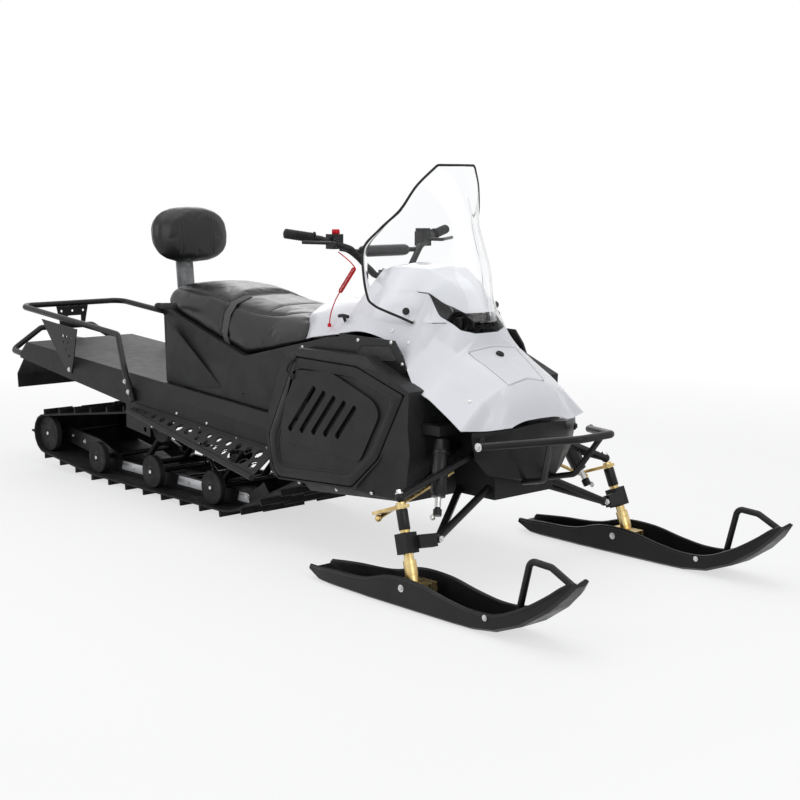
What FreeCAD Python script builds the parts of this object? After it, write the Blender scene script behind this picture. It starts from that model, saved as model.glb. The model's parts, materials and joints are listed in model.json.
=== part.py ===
import FreeCAD, Part
import math
import os
import re

import Sketcher
from FreeCAD import Placement, Rotation, Vector

# A two-seat utility snowmobile: a long track under a sheet metal tunnel, a plastic lower body with a
# white hood, two skis on sprung arms, a rear rack and a tall windshield.
# +X is forward, +Y is the machine's left, +Z is up. The origin is on the ground, midway in length.
# Lengths are in millimetres and angles in degrees.

SIZES = [
    # gaps between neighbours
    ("seat_gap", 0.3),
    ("door_gap", 4),
    ("shaft_gap", 0.4),
    # tunnel: folded sheet over the track, rising towards the tail
    ("tunnel_rise", 3.7),
    ("tunnel_top_z", 442),
    ("tunnel_front_x", 360),
    ("tunnel_rear_x", -1625),
    ("tunnel_top_half", 268),
    ("tunnel_half", 300),
    ("shoulder_drop", 45),
    ("side_depth", 122),
    ("tail_depth", 66),
    ("side_break_x", -700),
    ("front_depth", 190),
    ("front_break_x", 180),
    ("sheet_gauge", 3),
    # snow flap
    ("flap_rear_x", -1755),
    ("flap_half", 250),
    ("flap_gauge", 6),
    ("flap_bottom_z", 332),
    # running boards
    ("board_rear_x", -700),
    ("board_front_x", 196),
    ("board_front_half", 404),
    ("board_rear_half", 335),
    ("board_front_z", 234),
    ("board_gauge", 4),
    ("board_tube", 11),
    # track and its wheels
    ("track_width", 500),
    ("belt_thick", 8),
    ("lug_height", 22),
    ("lug_length", 12),
    ("lug_rows", 62),
    ("lug_band", 140),
    ("bogie_radius", 66),
    ("bogie_width", 26),
    ("wheel_half", 215),
    ("bogie_rear_x", -1126),
    ("bogie_step", 413),
    ("idler_x", -1530),
    ("idler_z", 148),
    ("idler_radius", 78),
    ("carrier_x", -640),
    ("carrier_z", 285),
    ("carrier_radius", 60),
    ("nose_x", -217),
    ("nose_radius", 300),
    ("drive_x", 230),
    ("drive_z", 290),
    ("drive_radius", 80),
    ("drive_shaft", 14),
    ("drive_half", 120),
    ("axle_radius", 10),
    # slide rails
    ("rail_half", 150),
    ("rail_width", 14),
    ("rail_height", 58),
    ("rail_nose_sweep", 40),
    # suspension
    ("front_arm_x", -150),
    ("rear_arm_x", -740),
    ("rear_arm_z", 305),
    ("arm_tube", 13),
    # seats and backrest
    ("base_half", 250),
    ("seat_split_x", -235),
    ("seat_rear_x", -655),
    ("seat_front_x", 285),
    ("seat_half", 205),
    ("pad_x", -745),
    ("pad_z", 1035),
    ("pad_half", 178),
    ("pad_height", 225),
    ("pad_thick", 100),
    ("post_width", 80),
    ("post_gauge", 8),
    ("pad_lean", 0.12),
    ("base_rear_lean", 70),
    ("base_rear_x", -625),
    ("base_rear_z", 765),
    ("base_dip_x", -80),
    ("base_dip_z", 618),
    ("base_front_x", 318),
    ("base_front_z", 700),
    ("base_front_flat", 40),
    ("console_rear_x", 95),
    ("console_front_x", 520),
    ("strap_width", 36),
    ("strap_gauge", 3),
    # rear rack
    ("rack_half", 255),
    ("rack_rear_x", -1690),
    ("rack_rear_z", 700),
    ("rack_tube", 12.5),
    ("rack_foot_x", -698),
    ("rack_bend_x", -890),
    ("rack_fall", 64),
    ("stay_rear_x", -1419),
    ("stay_front_x", -1129),
    ("stay_foot_x", -1198),
    ("stay_gauge", 4),
    ("bracket_bore", 11),
    ("hitch_x", -1712),
    ("hitch_bore", 16),
    ("hitch_gauge", 10),
    ("hitch_half", 32),
    # lower body and side panels
    ("body_half", 345),
    ("body_wall", 5),
    ("panel_thick", 16),
    ("panel_out", 6),
    ("lip_width", 14),
    ("tub_front_x", 925),
    ("tub_front_half", 275),
    ("slot_width", 20),
    ("slot_length", 215),
    ("engine_rear_x", 450),
    ("engine_front_x", 800),
    ("engine_half", 200),
    ("engine_top_z", 640),
    # hood
    ("hood_wall", 4),
    ("hatch_top_x", 950),
    ("hatch_low_x", 1104),
    ("hatch_top_half", 112),
    ("hatch_low_half", 83),
    ("nose_wall", 5),
    ("bumper_tube", 12),
    ("hatch_gap", 3),
    # windshield
    ("hood_gap", 0.7),
    ("screen_gauge", 4),
    ("screen_point", 1.35),
    # steering
    ("kingpin_rake", 19),
    ("kingpin_lean", 5.4),
    ("ski_half_stance", 485),
    ("spindle_radius", 15),
    ("housing_x", 1080),
    ("housing_out", 5),
    ("housing_z", 180),
    ("arm_reach", 112),
    ("housing_span", 48),
    ("housing_height", 62),
    ("tab_length", 70),
    ("frame_half", 135),
    ("frame_top_z", 470),
    ("spindle_top_z", 296),
    ("leg_low_z", 68),
    ("leg_top_z", 132),
    ("foot_half", 24),
    ("ball_radius", 15),
    ("upper_tube", 11),
    ("lower_tube", 12),
    ("shock_radius", 21),
    ("rack_x", 985),
    ("rack_z", 345),
    ("steer_room", 70),
    ("tie_radius", 6),
    ("tie_ball", 11),
    ("tie_gap", 0.9),
    ("grip_end_y", 372),
    ("column_x", 445),
    ("column_z", 900),
    ("column_rake", 25),
    ("column_radius", 17),
    ("bar_radius", 11),
    ("grip_radius", 17),
    ("cord_radius", 2),
    ("coil_radius", 7.5),
    # skis
    ("ski_tip_x", 1755),
    ("ski_tip_z", 200),
    ("ski_tail_x", 672),
    ("ski_half_width", 70),
    ("pivot_ahead", 42),
    ("ski_pivot_z", 62),
    ("ski_floor", 14),
    ("ski_wall", 9),
    ("ski_pin", 8),
    ("loop_tube", 10),
]

doc = FreeCAD.newDocument("snowmobile")
sheet = doc.addObject("Spreadsheet::Sheet", "sizes")
for row, (alias, value) in enumerate(SIZES, start=1):
    sheet.set(f"A{row}", alias)
    sheet.set(f"B{row}", str(value))
    sheet.setAlias(f"B{row}", alias)
doc.recompute()

pieces = []


def size(alias):
    """The value of one named size."""
    return float(sheet.get(alias))


def link(formula):
    """A formula of size names as an expression on the sheet."""
    return re.sub(r"\b(?!tan\b)[a-z_][a-z_0-9]*", lambda name: "sizes." + name.group(), str(formula))


def keep(obj, label, placement=None):
    """Name a finished piece and list it for export."""
    obj.Label = label
    if placement is not None:
        obj.Placement = placement
    pieces.append(obj)
    return obj


def shape_piece(label, shape):
    """A piece whose solid is worked out below from the sheet's sizes."""
    obj = doc.addObject("Part::Feature", label)
    obj.Shape = shape
    return keep(obj, label)


def outline_sketch(body, plane, corners):
    """A closed outline on one of the body's own planes; every corner is held by two named distances."""
    sketch = body.newObject("Sketcher::SketchObject", body.Name + "_outline")
    origin_plane = [f for f in body.Origin.OriginFeatures if f.Role == plane][0]
    sketch.AttachmentSupport = [(origin_plane, "")]
    sketch.MapMode = "FlatFace"
    count = len(corners)
    start = [
        Vector(math.cos(2 * math.pi * k / count), math.sin(2 * math.pi * k / count), 0)
        for k in range(count)
    ]
    for k in range(count):
        sketch.addGeometry(Part.LineSegment(start[k], start[(k + 1) % count]), False)
    for k in range(count):
        sketch.addConstraint(Sketcher.Constraint("Coincident", k, 2, (k + 1) % count, 1))
    for k, (across, up) in enumerate(corners):
        index = sketch.addConstraint(Sketcher.Constraint("DistanceX", -1, 1, k, 1, start[k].x))
        sketch.setExpression(f"Constraints[{index}]", link(across))
        index = sketch.addConstraint(Sketcher.Constraint("DistanceY", -1, 1, k, 1, start[k].y))
        sketch.setExpression(f"Constraints[{index}]", link(up))
    return sketch


def plate_body(label, plane, corners, width):
    """A body padded from an outline, half of its width to each side of the plane."""
    body = doc.addObject("PartDesign::Body", label)
    pad = body.newObject("PartDesign::Pad", label + "_pad")
    pad.Profile = outline_sketch(body, plane, corners)
    pad.SideType = "Symmetric"
    pad.setExpression("Length", link(width))
    return body


def cut_outline(body, plane, corners):
    """Cut an outline right through a body."""
    pocket = body.newObject("PartDesign::Pocket", body.Name + "_cut")
    pocket.Profile = outline_sketch(body, plane, corners)
    pocket.SideType = "Symmetric"
    pocket.Type = "ThroughAll"
    return pocket


def mirrored(shape):
    """The same shape on the machine's other side."""
    return shape.mirror(Vector(0, 0, 0), Vector(0, 1, 0))


def pair(shape):
    """A shape and its mirror image, as two solids that don't touch."""
    return Part.Compound([shape, mirrored(shape)])


def rod(start, end, radius):
    """A round bar from start to end."""
    start, end = Vector(*start), Vector(*end)
    run = end - start
    return Part.makeCylinder(radius, run.Length, start, run)


def bent_path(points, radii):
    """Straight runs joined by tangent arcs, one radius for each inner point."""
    points = [Vector(*p) for p in points]
    edges = []
    last = points[0]
    for before, corner, after in zip(points, points[1:], points[2:]):
        towards = (before - corner).normalize()
        away = (after - corner).normalize()
        half = towards.getAngle(away) / 2
        radius = radii[len(edges) // 2]
        back = radius / math.tan(half)
        first, final = corner + towards * back, corner + away * back
        middle_line = (towards + away).normalize()
        middle = corner + middle_line * (radius / math.sin(half) - radius)
        edges.append(Part.LineSegment(last, first).toShape())
        edges.append(Part.Arc(first, middle, final).toShape())
        last = final
    edges.append(Part.LineSegment(last, points[-1]).toShape())
    return Part.Wire(edges)


def tube(points, radius, bend):
    """A round tube along bent_path; bend is one radius for every corner, or a list of them."""
    radii = bend if isinstance(bend, list) else [bend] * (len(points) - 2)
    path = bent_path(points, radii)
    start = Vector(*points[0])
    run = Vector(*points[1]) - start
    ring = Part.Wire(Part.makeCircle(radius, start, run))
    return path.makePipeShell([ring], True, False)


def ring_of(points):
    """A closed wire through points."""
    points = [Vector(*p) for p in points]
    return Part.makePolygon(points + [points[0]])


def loft(rings):
    """A solid with flat facets between rings of equal corner count."""
    return Part.makeLoft([ring_of(ring) for ring in rings], True, True)


def prism(corners, low, high):
    """An outline in the side view, corners (x, z), spanning y from low to high."""
    face = Part.Face(ring_of([(x, low, z) for x, z in corners]))
    return face.extrude(Vector(0, high - low, 0))


def both_halves(half):
    """A full section from its half: (y, z) from the centre outwards, mirrored about y = 0."""
    return [(-y, z) for y, z in reversed(half) if y > 0] + list(half)


def block(low, high):
    """A box between two corners."""
    low, high = Vector(*low), Vector(*high)
    span = high - low
    return Part.makeBox(span.x, span.y, span.z, low)


def tunnel_z(x, drop=0):
    """Height of the tunnel's top plate above the ground at x, less a drop square to it."""
    slope = math.radians(size("tunnel_rise"))
    return size("tunnel_top_z") - x * math.tan(slope) - drop / math.cos(slope)


# Tunnel: the outline is a hat section, padded along X, with the walls cut to their depth
tunnel = plate_body(
    "tunnel",
    "YZ_Plane",
    [
        ("-tunnel_half", "-front_depth"),
        ("-tunnel_half", "-shoulder_drop"),
        ("-tunnel_top_half", "0"),
        ("tunnel_top_half", "0"),
        ("tunnel_half", "-shoulder_drop"),
        ("tunnel_half", "-front_depth"),
        ("tunnel_half - sheet_gauge", "-front_depth"),
        ("tunnel_half - sheet_gauge", "-shoulder_drop"),
        ("tunnel_top_half - sheet_gauge", "-sheet_gauge"),
        ("-tunnel_top_half + sheet_gauge", "-sheet_gauge"),
        ("-tunnel_half + sheet_gauge", "-shoulder_drop"),
        ("-tunnel_half + sheet_gauge", "-front_depth"),
    ],
    "tunnel_front_x - tunnel_rear_x",
)
doc.recompute()
tunnel_middle = "(tunnel_front_x + tunnel_rear_x) / 2"
cut_outline(
    tunnel,
    "XZ_Plane",
    [
        (f"side_break_x - {tunnel_middle}", "-side_depth"),
        (f"front_break_x - {tunnel_middle}", "-side_depth"),
        (f"front_break_x - {tunnel_middle} + 20", "-front_depth"),
        (f"front_break_x - {tunnel_middle} + 20", "-front_depth - 10"),
        (f"tunnel_rear_x - {tunnel_middle} - 10", "-front_depth - 10"),
        (f"tunnel_rear_x - {tunnel_middle} - 10", "-tail_depth"),
    ],
)
slope = Rotation(Vector(0, 1, 0), size("tunnel_rise"))
middle_x = (size("tunnel_front_x") + size("tunnel_rear_x")) / 2
keep(tunnel, "tunnel", Placement(Vector(middle_x, 0, tunnel_z(middle_x)), slope))

# Snow flap: a rubber sheet that hangs from the tunnel's tail, notched for the hitch
flap_gauge = size("flap_gauge")
tail_x = size("tunnel_rear_x")
under = size("sheet_gauge") + size("seat_gap")
flap_line = [
    (tail_x + 25, tunnel_z(tail_x + 25, under)),
    (tail_x + 3, tunnel_z(tail_x + 3, under)),
    (size("flap_rear_x"), size("flap_bottom_z") + 62),
    (size("flap_rear_x") + 5, size("flap_bottom_z")),
]
flap = prism(
    flap_line + [
        (size("flap_rear_x") + 5 + flap_gauge, size("flap_bottom_z")),
        (size("flap_rear_x") + flap_gauge, size("flap_bottom_z") + 58),
        (tail_x + 8, tunnel_z(tail_x + 8, under + flap_gauge)),
        (tail_x + 25, tunnel_z(tail_x + 25, under + flap_gauge)),
    ],
    -size("flap_half"),
    size("flap_half"),
)
notch_half = size("hitch_half") + size("seat_gap")
notch = block((size("flap_rear_x"), -notch_half, tunnel_z(tail_x) - 60),
              (tail_x + 30, notch_half, tunnel_z(tail_x) + 10))
shape_piece("snow_flap", flap.cut(notch))


# Running boards: a pierced sheet from the tunnel's side to an outer tube
def running_board():
    wall_y = -size("tunnel_half") - size("seat_gap")
    gauge = size("board_gauge")
    rear_x, front_x = size("board_rear_x"), size("board_front_x")
    rear_z = tunnel_z(rear_x, size("side_depth"))
    front_z = tunnel_z(front_x, size("side_depth"))
    outer_rear = (rear_x, -size("board_rear_half"), rear_z - 8)
    outer_front = (front_x, -size("board_front_half"), size("board_front_z"))
    rings = []
    for x, inner_z, outer_y, outer_z in [
        (rear_x, rear_z, outer_rear[1], outer_rear[2]),
        (front_x, front_z, outer_front[1], outer_front[2]),
    ]:
        rings.append(
            [
                (x, wall_y, inner_z + 18),
                (x, wall_y, inner_z),
                (x, outer_y, outer_z - gauge / 2),
                (x, outer_y, outer_z + gauge / 2),
                (x, wall_y - gauge, inner_z + gauge),
                (x, wall_y - gauge, inner_z + 18),
            ]
        )
    board = loft(rings)
    outer = rod(outer_rear, outer_front, size("board_tube"))
    holes = []
    count = 4
    for k in range(count):
        share = (k + 0.62) / (count + 0.3)
        x = rear_x + (front_x - rear_x) * share
        outer_y = outer_rear[1] + (outer_front[1] - outer_rear[1]) * share
        half_span = (abs(outer_y) - abs(wall_y)) / 2 - 14
        if half_span > 6:
            hole = Part.makeCylinder(half_span, 200, Vector(x, (outer_y + wall_y) / 2 - 2, 100))
            stretch = FreeCAD.Matrix()
            stretch.scale(1.9, 1, 1)
            hole.translate(Vector(-x, 0, 0))
            hole = hole.transformGeometry(stretch)
            hole.translate(Vector(x, 0, 0))
            holes.append(hole)
    for hole in holes:
        board = board.cut(hole)
    return board.fuse(outer).removeSplitter()


shape_piece("running_boards", pair(running_board()))


# Track: the belt runs round five circles, in the side view, with lugs on its outside
def track_circles():
    ground = size("lug_height") + size("belt_thick")
    return [
        (size("bogie_rear_x"), ground + size("bogie_radius"), size("bogie_radius")),
        (size("nose_x"), ground + size("nose_radius"), size("nose_radius")),
        (size("drive_x"), size("drive_z"), size("drive_radius")),
        (size("carrier_x"), size("carrier_z"), size("carrier_radius")),
        (size("idler_x"), size("idler_z"), size("idler_radius")),
    ]


def track_normals():
    """Angle of the outward normal of each straight run, from circle k to circle k + 1."""
    circles = track_circles()
    angles = []
    for (xa, za, ra), (xb, zb, rb) in zip(circles, circles[1:] + circles[:1]):
        reach = math.hypot(xb - xa, zb - za)
        angles.append(math.atan2(zb - za, xb - xa) - math.acos((ra - rb) / reach))
    return angles


def track_runs(offset):
    """The loop as arcs and lines at an offset outside the belt's inner face."""
    circles, normals = track_circles(), track_normals()
    runs = []
    for k, (x, z, radius) in enumerate(circles):
        start, end = normals[k - 1], normals[k]
        while end < start:
            end += 2 * math.pi
        runs.append((x, z, radius + offset, start, end))
    return runs


def belt_face(offset):
    edges = []
    runs = track_runs(offset)
    for (x, z, radius, start, end), after in zip(runs, runs[1:] + runs[:1]):
        spots = [
            Vector(x + radius * math.cos(a), 0, z + radius * math.sin(a))
            for a in (start, (start + end) / 2, end)
        ]
        edges.append(Part.Arc(*spots).toShape())
        x_next, z_next, radius_next, start_next, _ = after
        reach = Vector(
            x_next + radius_next * math.cos(start_next), 0, z_next + radius_next * math.sin(start_next)
        )
        edges.append(Part.LineSegment(spots[2], reach).toShape())
    return Part.Face(Part.Wire(edges))


def along_track(share, offset):
    """The point at a share of the loop's length, with its outward normal's angle."""
    runs = track_runs(0)
    spans = []
    for (x, z, radius, start, end), after in zip(runs, runs[1:] + runs[:1]):
        spans.append(radius * (end - start))
        x_end, z_end = x + radius * math.cos(end), z + radius * math.sin(end)
        x_next = after[0] + after[2] * math.cos(after[3])
        z_next = after[1] + after[2] * math.sin(after[3])
        spans.append(math.hypot(x_next - x_end, z_next - z_end))
    left = share * sum(spans)
    for k, span in enumerate(spans):
        if left <= span:
            break
        left -= span
    x, z, radius, start, end = runs[k // 2]
    if k % 2 == 0:
        angle = start + left / radius
        return x + (radius + offset) * math.cos(angle), z + (radius + offset) * math.sin(angle), angle
    along = (-math.sin(end), math.cos(end))
    x = x + (radius + offset) * math.cos(end) + along[0] * left
    z = z + (radius + offset) * math.sin(end) + along[1] * left
    return x, z, end


def toothed_face(first, step):
    """The belt's section with a lug at every step-th row from the first."""
    rows = int(size("lug_rows"))
    thick, tip = size("belt_thick"), size("belt_thick") + size("lug_height")
    half = size("lug_length") / 2
    outline = []
    for row in range(rows):
        share = row / rows
        x, z, angle = along_track(share, thick)
        outward = (math.cos(angle), math.sin(angle))
        forward = (-math.sin(angle), math.cos(angle))
        if row % step == first:
            lug_tip = tip - thick
            for side, height in ((-half, 0), (-half * 0.6, lug_tip), (half * 0.6, lug_tip), (half, 0)):
                outline.append(
                    (
                        x + outward[0] * height + forward[0] * side,
                        0,
                        z + outward[1] * height + forward[1] * side,
                    )
                )
        else:
            outline.append((x, 0, z))
        x, z, _ = along_track((row + 0.5) / rows, thick)
        outline.append((x, 0, z))
    return Part.Face(ring_of(outline)).cut(belt_face(0))


def track():
    half = size("track_width") / 2
    band = size("lug_band")
    marks = [(-half, -half + band, 0), (-half + band + 12, half - band - 12, 1), (half - band, half, 0)]
    solids = []
    last = -half
    plain = toothed_face(9, 10 ** 6)
    for low, high, first in marks:
        if low > last:
            strip = plain.copy()
            strip.translate(Vector(0, last, 0))
            solids.append(strip.extrude(Vector(0, low - last, 0)))
        strip = toothed_face(first, 2)
        strip.translate(Vector(0, low, 0))
        solids.append(strip.extrude(Vector(0, high - low, 0)))
        last = high
    return solids[0].multiFuse(solids[1:])


shape_piece("track", track())


# Wheels on cross axles; every axle runs in bores of what carries it
def wheel_set(x, z, radius, axle_half):
    half, width = size("wheel_half"), size("bogie_width")
    across = Vector(0, 1, 0)
    outer_y = -half - width / 2
    wheel = Part.makeCylinder(radius - size("seat_gap"), width, Vector(x, outer_y, z), across)
    dish = Part.makeCylinder(radius * 0.62, 7, Vector(x, outer_y, z), across)
    hub = Part.makeCylinder(radius * 0.3, 7, Vector(x, outer_y, z), across)
    wheel = wheel.cut(dish).fuse(hub)
    bar = Part.makeCylinder(size("axle_radius"), 2 * axle_half, Vector(x, -axle_half, z), across)
    return bar.multiFuse([wheel, mirrored(wheel)]).removeSplitter()


def bored(solid, x, z, y, width):
    """The solid with an axle's bore, square to the side view."""
    bore = size("axle_radius") + size("shaft_gap")
    return solid.cut(Part.makeCylinder(bore, width, Vector(x, y - width / 2, z), Vector(0, 1, 0)))


ground_z = size("lug_height") + size("belt_thick")
bogie_z = ground_z + size("bogie_radius")
bogie_xs = [size("bogie_rear_x") + k * size("bogie_step") for k in range(3)]
inner_wall = size("tunnel_half") - size("sheet_gauge") - size("seat_gap")
wheels = [wheel_set(x, bogie_z, size("bogie_radius"), size("wheel_half")) for x in bogie_xs]
wheels.append(wheel_set(size("idler_x"), size("idler_z"), size("idler_radius"), size("wheel_half")))
wheels.append(wheel_set(size("carrier_x"), size("carrier_z"), size("carrier_radius"), inner_wall))
shape_piece("track_wheels", Part.Compound(wheels))


# Slide rails: aluminium bars on the belt's inner face, with a curved nose
def slide_rail():
    y, width = -size("rail_half"), size("rail_width")
    low_z = ground_z + size("seat_gap")
    height = size("rail_height")
    nose_x, radius = size("nose_x"), size("nose_radius")
    sweep = math.radians(size("rail_nose_sweep"))
    rear_x = size("bogie_rear_x") + size("bogie_radius")

    def nose_point(reach, angle):
        return Vector(
            nose_x + reach * math.sin(angle), y - width / 2, ground_z + radius - reach * math.cos(angle)
        )

    outer = radius - size("seat_gap")
    inner = outer - height
    corners = [
        Vector(rear_x, y - width / 2, low_z + height),
        Vector(rear_x, y - width / 2, low_z),
    ]
    edges = [
        Part.LineSegment(corners[0], corners[1]).toShape(),
        Part.LineSegment(corners[1], nose_point(outer, 0)).toShape(),
        Part.Arc(*[nose_point(outer, sweep * share) for share in (0, 0.5, 1)]).toShape(),
        Part.LineSegment(nose_point(outer, sweep), nose_point(inner, sweep)).toShape(),
        Part.Arc(*[nose_point(inner, sweep * share) for share in (1, 0.5, 0)]).toShape(),
        Part.LineSegment(nose_point(inner, 0), corners[0]).toShape(),
    ]
    rail = Part.Face(Part.Wire(edges)).extrude(Vector(0, width, 0))
    for x in bogie_xs[1:]:
        rail = bored(rail, x, bogie_z, y, width)
    return rail


def tail_arm():
    """The raised arm from the rearmost bogie axle to the rear idler axle."""
    width = size("rail_width")
    y = -size("rail_half")
    xa, za = size("bogie_rear_x"), bogie_z
    xb, zb = size("idler_x"), size("idler_z")
    front_x = xa + size("bogie_radius") - size("seat_gap")
    outline = [
        (front_x, ground_z + 2),
        (front_x, za + 12),
        (xa - 90, za + 58),
        (xb - 28, zb + 34),
        (xb - 28, zb - 26),
        (xa - 70, za - 24),
    ]
    arm = prism(outline, y - width / 2, y + width / 2)
    arm = bored(arm, xa, za, y, width)
    return bored(arm, xb, zb, y, width)


rail, raised = slide_rail(), tail_arm()
shape_piece("slide_rails", Part.Compound([rail, mirrored(rail), raised, mirrored(raised)]))


# Suspension: two swing arms between the rails and the tunnel, and the shocks between them
def swing_arm(top_x, top_z, run, low_z):
    radius = size("arm_tube")
    inside = size("rail_half") - size("rail_width") / 2 - size("seat_gap")
    top = rod((top_x, -inner_wall, top_z), (top_x, inner_wall, top_z), radius)
    low = rod((top_x - run, -inside, low_z), (top_x - run, inside, low_z), radius)
    legs = [rod((top_x, y, top_z), (top_x - run, y, low_z), radius) for y in (-100, 100)]
    return top.multiFuse([low] + legs).removeSplitter()


def drop_bracket():
    """The plate inside the tunnel's wall that carries the rear arm and the carrier rollers."""
    rear_x, front_x = size("rear_arm_x") - 35, size("carrier_x") + 35
    wall_top = tunnel_z(size("rear_arm_x"), size("shoulder_drop")) - 12
    outline = [
        (rear_x, size("rear_arm_z") - 26),
        (front_x, size("carrier_z") - 26),
        (front_x, wall_top - 8),
        (rear_x, wall_top),
    ]
    gauge = size("sheet_gauge")
    plate = prism(outline, -inner_wall, -inner_wall + gauge)
    return bored(plate, size("carrier_x"), size("carrier_z"), -inner_wall + gauge / 2, gauge)


arm_low_z = ground_z + size("rail_height") - size("arm_tube")
front_top_z = tunnel_z(size("front_arm_x"), size("side_depth")) + 10
front_arm = swing_arm(size("front_arm_x"), front_top_z, 260, arm_low_z)
rear_arm = swing_arm(size("rear_arm_x"), size("rear_arm_z"), 220, arm_low_z)
bracket = drop_bracket()
rear_arm = rear_arm.multiFuse([bracket, mirrored(bracket)]).removeSplitter()
shape_piece("swing_arms", Part.Compound([front_arm, rear_arm]))


def shock(top, low, radius):
    """A shock from eye to eye: a slim rod inside the spring's outline."""
    top, low = Vector(*top), Vector(*low)
    run = low - top
    spring = Part.makeCylinder(radius, run.Length * 0.66, top + run * 0.17, run)
    return spring.fuse(Part.makeCylinder(radius * 0.4, run.Length, top, run)).removeSplitter()


def track_shocks():
    """Two shocks, each with the cross tube that carries its low eye between the rails."""
    inside = size("rail_half") - size("rail_width") / 2 - size("seat_gap")
    radius = size("arm_tube")
    solids = []
    for top_x, top_z, run in (
        (size("front_arm_x"), front_top_z, 400),
        (size("rear_arm_x"), size("rear_arm_z"), -150),
    ):
        low_x = top_x - run
        reach = Vector(low_x - top_x, 0, arm_low_z - top_z).normalize() * (radius + size("seat_gap"))
        body = shock((top_x + reach.x, 0, top_z + reach.z), (low_x, 0, arm_low_z), 26)
        cross = rod((low_x, -inside, arm_low_z), (low_x, inside, arm_low_z), radius)
        solids.append(body.fuse(cross).removeSplitter())
    return solids


# Drive axle: a shaft across the tunnel's front with two sprockets
drive = rod((size("drive_x"), -inner_wall, size("drive_z")), (size("drive_x"), inner_wall, size("drive_z")),
            size("drive_shaft"))
sprockets = []
for side in (-1, 1):
    y = side * size("drive_half")
    sprockets.append(
        rod((size("drive_x"), y - 15, size("drive_z")), (size("drive_x"), y + 15, size("drive_z")),
            size("drive_radius") - size("seat_gap"))
    )
shape_piece("drive_axle", drive.multiFuse(sprockets).removeSplitter())

# Tail bar: a bent tube behind the tunnel, bolted inside its walls
tail_y = size("tunnel_half") - size("sheet_gauge") - size("rack_tube") - size("seat_gap")
bar_x = size("flap_rear_x") + size("rack_tube")
tail_z = tunnel_z(size("tunnel_rear_x"), size("shoulder_drop"))
shape_piece(
    "tail_bar",
    tube(
        [
            (size("tunnel_rear_x") + 60, -tail_y, tail_z - 14),
            (bar_x, -tail_y + 12, tail_z),
            (bar_x, -130, tail_z + 90),
            (bar_x, 130, tail_z + 90),
            (bar_x, tail_y - 12, tail_z),
            (size("tunnel_rear_x") + 60, tail_y, tail_z - 14),
        ],
        size("rack_tube"),
        30,
    ),
)

# Tow hitch: a tongue under the tunnel's tail with an upright pin bore
hitch_gauge = size("hitch_gauge")
hitch_top = tunnel_z(tail_x, under)
hitch_front_x = tail_x + 120
hitch_line = [(size("flap_rear_x") + 20, hitch_top), (tail_x, hitch_top),
              (hitch_front_x, tunnel_z(hitch_front_x, under))]
hitch_outline = hitch_line + [(x, z - hitch_gauge) for x, z in reversed(hitch_line)]
hitch = prism(hitch_outline, -size("hitch_half"), size("hitch_half"))
hitch_z = hitch_top - hitch_gauge
hitch_hole = Part.makeCylinder(size("hitch_bore") / 2, hitch_gauge, Vector(size("hitch_x"), 0, hitch_z))
hitch = hitch.cut(hitch_hole)
shape_piece("tow_hitch", hitch)


# Rear rack: one bent loop, its feet bolted to the outside of the tunnel's walls
def rack_rail_z(x):
    """Height of the rack's side rail at x."""
    front_x, rear_x = size("rack_bend_x"), size("rack_rear_x")
    return size("rack_rear_z") - size("rack_fall") * (x - rear_x) / (front_x - rear_x)


def rack_loop():
    radius = size("rack_tube")
    foot_y = size("tunnel_half") + radius + size("seat_gap")
    half, rear_x, bend_x = size("rack_half"), size("rack_rear_x"), size("rack_bend_x")
    foot_x = size("rack_foot_x")
    side = [
        (foot_x, -foot_y, tunnel_z(foot_x, size("side_depth")) + 26),
        (foot_x - 60, -foot_y, tunnel_z(foot_x, 0) + 38),
        (bend_x, -half, rack_rail_z(bend_x)),
        (rear_x, -half, size("rack_rear_z")),
    ]
    return tube(side + [(x, -y, z) for x, y, z in reversed(side)], radius, 55)


def rack_stay():
    """A gusset from the rack's side rail down to a bolt on the tunnel's shoulder."""
    y, gauge = -size("tunnel_half") - size("seat_gap"), size("stay_gauge")
    rear_x, front_x, foot_x = size("stay_rear_x"), size("stay_front_x"), size("stay_foot_x")
    hang = size("rack_tube") + size("seat_gap") + 1
    low_z = tunnel_z(foot_x, size("shoulder_drop")) - 22
    outline = [
        (foot_x - 15, low_z),
        (foot_x + 15, low_z),
        (foot_x + 32, low_z + 45),
        (front_x, rack_rail_z(front_x) - hang),
        (rear_x, rack_rail_z(rear_x) - hang),
        (rear_x + 70, rack_rail_z(rear_x) - hang - 75),
    ]
    return prism(outline, y - gauge, y)


def plate_bracket():
    """The pierced plate that hangs from the rack's rear bar."""
    radius, gauge = size("rack_tube"), size("stay_gauge")
    x, top_z = size("rack_rear_x"), size("rack_rear_z") - radius - size("seat_gap")
    outline = [(-80, top_z), (80, top_z), (62, top_z - 88), (-62, top_z - 88)]
    face = Part.Face(ring_of([(x - gauge / 2, y, z) for y, z in outline]))
    plate = face.extrude(Vector(gauge, 0, 0))
    plate = plate.cut(block((x - gauge, -24, top_z - 72), (x + gauge, 44, top_z - 44)))
    for y in (-55, 0, 55):
        hole = Part.makeCylinder(size("bracket_bore") / 2, 2 * gauge, Vector(x - gauge, y, top_z - 22),
                                 Vector(1, 0, 0))
        plate = plate.cut(hole)
    return plate


stay = rack_stay()
shape_piece("rear_rack", Part.Compound([rack_loop(), stay, mirrored(stay), plate_bracket()]))

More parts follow.
